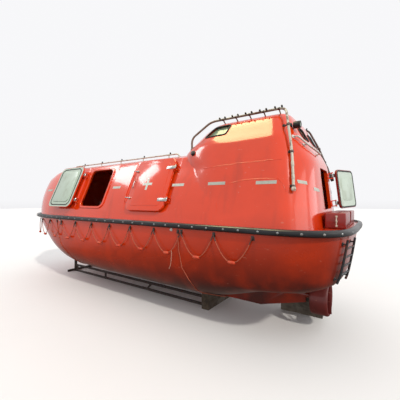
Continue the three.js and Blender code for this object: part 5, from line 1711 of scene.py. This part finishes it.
class CradlePiece(bpy.types.Operator):
    """Welded truss frames, bow foot, timber bolster and stern board"""

    bl_idname = "lifeboat.cradle"
    bl_label = "Cradle"

    def execute(self, context):
        for name, side in SIDES:
            self.truss(name, side * TRUSS_Y)
        bm = bmesh.new()
        block(bm, m(TRUSS_FRONT + 0.5, -480, 0), m(TRUSS_FRONT + 50, 480, 50), 4 * MM, segments=3)
        finish_piece(bm, "bow_foot_bar", "root", "rust", 40, ("cradle_foot_bow",))
        self.bolster()
        board = boxed("stern_board", m(-3150, -360, 0), m(-2510, -300, 800), 5 * MM)
        apply_boolean(board, loose(hull_solid(-1), "hull_above"), "DIFFERENCE")
        adopt(board, "root", "board", 30, ("cradle_board_aft",))
        return {"FINISHED"}

    def beam(self, bm, start, end, size):
        """Square hollow section between two points, with rounded edges."""
        start, end = Vector(start), Vector(end)
        turn = (end - start).to_track_quat("Z", "Y").to_matrix().to_4x4()
        half = size / 2
        place = Matrix.Translation(start) @ turn
        block(bm, (-half, -half, 0), (half, half, (end - start).length), 4 * MM, place, 3)

    def truss(self, name, y):
        """Frame of one side: chords, upright, diagonal, front post up to the hull, gusset and welds."""
        low, high = CHORD / 2, sum(UPPER_CHORD) / 2
        back, post = TRUSS_BACK - 20, TRUSS_FRONT - FRONT_POST / 2
        bm = bmesh.new()
        for (x0, z0), (x1, z1), size in (
            ((back, low), (post, low), CHORD),
            ((back, high), (post, high), CHORD),
            ((1370, low), (1370, high), BRACE),
            ((10, low), (-100, high), BRACE),
        ):
            self.beam(bm, m(x0, y, z0), m(x1, y, z1), size * MM)
        top, _ = land(hull_skin(), m(post, y, 50), (0, 0, 1))
        self.beam(bm, m(post, y, 0), top - m(0, 0, 4), FRONT_POST * MM)
        end = TRUSS_FRONT - FRONT_POST + 2
        foot, head = CHORD - 2, UPPER_CHORD[0] + 2
        corners = ((end, foot), (end, head), (end - 105, head), (end - 70, foot))
        face = bm.faces.new([bm.verts.new(m(x, y + 6, z)) for x, z in corners])
        thicken(bm, face, m(0, -12, 0))
        for x, z in ((1370, CHORD), (1370, UPPER_CHORD[0]), (-6, CHORD), (-84, UPPER_CHORD[0])):
            self.weld(bm, m(x, y, z))
        finish_piece(bm, f"truss_frame_{name}", "root", "rust", 40,
                     tuple(f"truss_{name}_{part}" for part in TRUSS_PARTS))

    def weld(self, bm, place):
        """Lumpy bead round the foot of a brace."""
        for spot in range(14):
            turn = 2 * math.pi * spot / 14
            rise = random.uniform(-1, 1) * 0.001
            at = place + Vector((math.cos(turn) * 0.0205, math.sin(turn) * 0.0195, rise))
            dome(bm, at, (0, 0, 1), 0.0052, 0.004, 8, 2)

    def bolster(self):
        """Timber under the after body, cut to the hull and notched for keel and trusses."""
        timber = boxed("timber_bolster", m(-1550, -440, 0), m(-1410, 440, 460), 9 * MM)
        apply_boolean(timber, loose(hull_solid(-1), "hull_above"), "DIFFERENCE")
        bm = bmesh.new()
        block(bm, m(-2000, -38.5, 139), m(-1000, 38.5, 400))
        for y in (TRUSS_Y, -TRUSS_Y):
            block(bm, m(TRUSS_BACK - 30, y - 26, -5), m(TRUSS_BACK + 200, y + 26, 200))
        apply_boolean(timber, loose(bm, "keel_and_truss_notches"), "DIFFERENCE")
        adopt(timber, "root", "bolster", 30, ("cradle_bolster",))


class CabinPiece(bpy.types.Operator):
    """Inside of the boat: sole, benches, engine cover and helmsman's seat"""

    bl_idname = "lifeboat.cabin"
    bl_label = "Cabin"

    def execute(self, context):
        for name in ("cabin_sole", "bench_port", "bench_starboard"):
            repaint(name, "liner")
        repaint("engine_block", "dark")
        bm = bmesh.new()
        block(bm, m(-2390, -225, 1200 + SEAT_GAP), m(-1975, 225, 1500), 12 * MM, segments=3)
        block(bm, m(-2398, -236, 1500), m(-2372, 236, 2080), 10 * MM, segments=3)
        finish_piece(bm, "helm_seat_box", "root", "liner", 40, ("helm_seat",))
        for name, low, high in (("helm_seat_cushion", (-2385, -232, 1500), (-1962, 232, 1618)),
                                ("helm_back_cushion", (-2372, -228, 1640), (-2332, 228, 2086))):
            bm = bmesh.new()
            block(bm, m(*low), m(*high), 16 * MM, segments=3)
            cushion = finish_piece(bm, name, "root", "vinyl", 60)
        return {"FINISHED"}


class MarkingsPiece(bpy.types.Operator):
    """Reflective strips on the upper works and the cross on the aft port hatch"""

    bl_idname = "lifeboat.markings"
    bl_label = "Reflective strips"

    def execute(self, context):
        half = context.scene.lifeboat_sizes.tape_width / 2
        bm = bmesh.new()
        for front, back, z in SIDE_STRIPS:
            for side in (1, -1):
                ends = (m(front, side * 1600, z), m(back, side * 1600, z))
                self.strip(bm, ends, half, (0, -side, 0), 10)
        for y, z, reach in AFT_STRIPS:
            for side in (1, -1):
                ends = [m(AFT_START, side * (y + way * reach), z + way * 8) for way in (-1, 1)]
                self.strip(bm, ends, half, (1, 0, 0), 8)
        finish_piece(bm, "reflective_strips", "root", "tape", 40, recalc=False)
        self.cross()
        return {"FINISHED"}

    def strip(self, bm, ends, half, way, columns):
        """One strip of tape between two ends, dropped onto the skin."""
        rise = Vector((0, 0, half))
        corners = (ends[0] - rise, ends[1] - rise, ends[1] + rise, ends[0] + rise)
        patch(bm, upper_skin(), corners, way, columns, 2, 0.0006, 0.0012)

    def cross(self):
        place = hatch_matrix(1, CROSS_X)
        face = sum(HATCH_PANEL[3:]) + 4.5
        long, wide = CROSS_ARM, CROSS_HALF
        bm = bmesh.new()
        block(bm, m(-long, -wide, face), m(long, wide, face + 0.8), matrix=place)
        block(bm, m(-wide, -long, face + 0.3), m(wide, long, face + 1.2), matrix=place)
        finish_piece(bm, "hatch_cross", "port_aft_hatch", "tape", 40)


class FittingsPiece(bpy.types.Operator):
    """Hand rail over the door, lamp and shoulder vents"""

    bl_idname = "lifeboat.fittings"
    bl_label = "Small fittings"

    def execute(self, context):
        self.aft_rail()
        self.lamp()
        self.vents()
        return {"FINISHED"}

    def aft_rail(self):
        """Hand rail bent to the tower's aft face, standing off on three stays."""
        tree = upper_skin()
        face = [land(tree, m(AFT_START, y, z), (1, 0, 0))[0] for y, z in HAND_RAIL]
        path = [point - m(HAND_RAIL_STAND_OFF, 0, 0) for point in face]
        bm = bmesh.new()
        pipe(bm, rounded_path(path, 0.05), 0.0125, 12)
        for k in (0, 3, 6):
            stand_off(bm, tree, path[k], 0.026)
        finish_piece(bm, "tower_hand_rail", "root", "white", 45, ("aft_hand_rail",))

    def lamp(self):
        """Round lamp facing aft on its foot, with a small amber lens beside its rim."""
        face, _ = land(upper_skin(), m(AFT_START, LAMP_Y, LAMP_Z), (1, 0, 0))
        bm = bmesh.new()
        near, far = face - m(LAMP_NEAR, 0, 0), face - m(LAMP_FAR, 0, 0)
        radius = LAMP_RADIUS * MM
        rod(bm, near, far, radius, 32, 0.006)
        rod(bm, near + m(20, 0, 0), face + m(20, 0, 0), 0.016, 16)
        rod(bm, face - m(6, 0, 0), face + m(12, 0, 0), 0.034, 20, 0.003)
        bezel = [(0.030, 0.0), (radius, 0.0), (radius, 0.006), (0.034, 0.007), (0.030, 0.0)]
        turned(bm, bezel, aim((-1, 0, 0), far), 32)
        finish_piece(bm, "tower_lamp_drum", "root", "black_plastic", 40, ("tower_lamp",))
        bm = bmesh.new()
        lens = [(0, 0.006), (0.02, 0.005), (0.03, 0.001), (0.03, -0.002), (0, -0.002)]
        turned(bm, lens, aim((-1, 0, 0), far), 32)
        finish_piece(bm, "tower_lamp_lens", "root", "window", 40)
        bm = bmesh.new()
        spot = near.lerp(far, 0.6) - Vector((0, radius, radius)) * 0.7
        dome(bm, spot, (0, -0.7, -0.7), 0.014, 0.012, 16)
        finish_piece(bm, "tower_lamp_tell_tale", "root", "lamp", 40)

    def vents(self):
        """Vent cowls on the tower's shoulders."""
        cowl = [(0, 0.036), (0.026, 0.034), (0.034, 0.026), (0.036, 0.01), (0.042, 0.004), (0.042, -0.004),
                (0, -0.004)]
        bm = bmesh.new()
        for side in (1, -1):
            place, normal = land(upper_skin(), m(-1525, side * SIDE_START, 2533), (0, -side, 0))
            turned(bm, cowl, aim(normal, place), 24)
        finish_piece(bm, "shoulder_vents", "root", "black_plastic", 40)


STEPS = (
    StagePiece, GrabLinesPiece, KeelLinesPiece, HullPiece, FenderPiece, UpperPiece, HatchesPiece, PanesPiece,
    SprayPipesPiece, SternGearPiece, HookGearPiece, LadderPiece, CradlePiece, CabinPiece, MarkingsPiece,
    FittingsPiece,
)


class LifeboatPanel(bpy.types.Panel):
    """Buttons for each group of pieces"""

    bl_idname = "VIEW3D_PT_lifeboat"
    bl_label = "Enclosed lifeboat"
    bl_space_type = "VIEW_3D"
    bl_region_type = "UI"
    bl_category = "Lifeboat"

    def draw(self, context):
        for settings in (context.scene.lifeboat_colours, context.scene.lifeboat_sizes):
            for key in settings.bl_rna.properties.keys():
                if key not in ("rna_type", "name"):
                    self.layout.prop(settings, key)
        for step in STEPS:
            self.layout.operator(step.bl_idname)


CLASSES = (LifeboatColours, LifeboatSizes, *STEPS, LifeboatPanel)


def register():
    for one in CLASSES:
        bpy.utils.register_class(one)
    bpy.types.Scene.lifeboat_colours = PointerProperty(type=LifeboatColours)
    bpy.types.Scene.lifeboat_sizes = PointerProperty(type=LifeboatSizes)


def unregister():
    del bpy.types.Scene.lifeboat_sizes
    del bpy.types.Scene.lifeboat_colours
    for one in reversed(CLASSES):
        bpy.utils.unregister_class(one)


def main():
    random.seed(7)
    register()
    make_finishes()
    for step in STEPS:
        group, name = step.bl_idname.split(".")
        getattr(getattr(bpy.ops, group), name)()


if __name__ == "__main__":
    main()
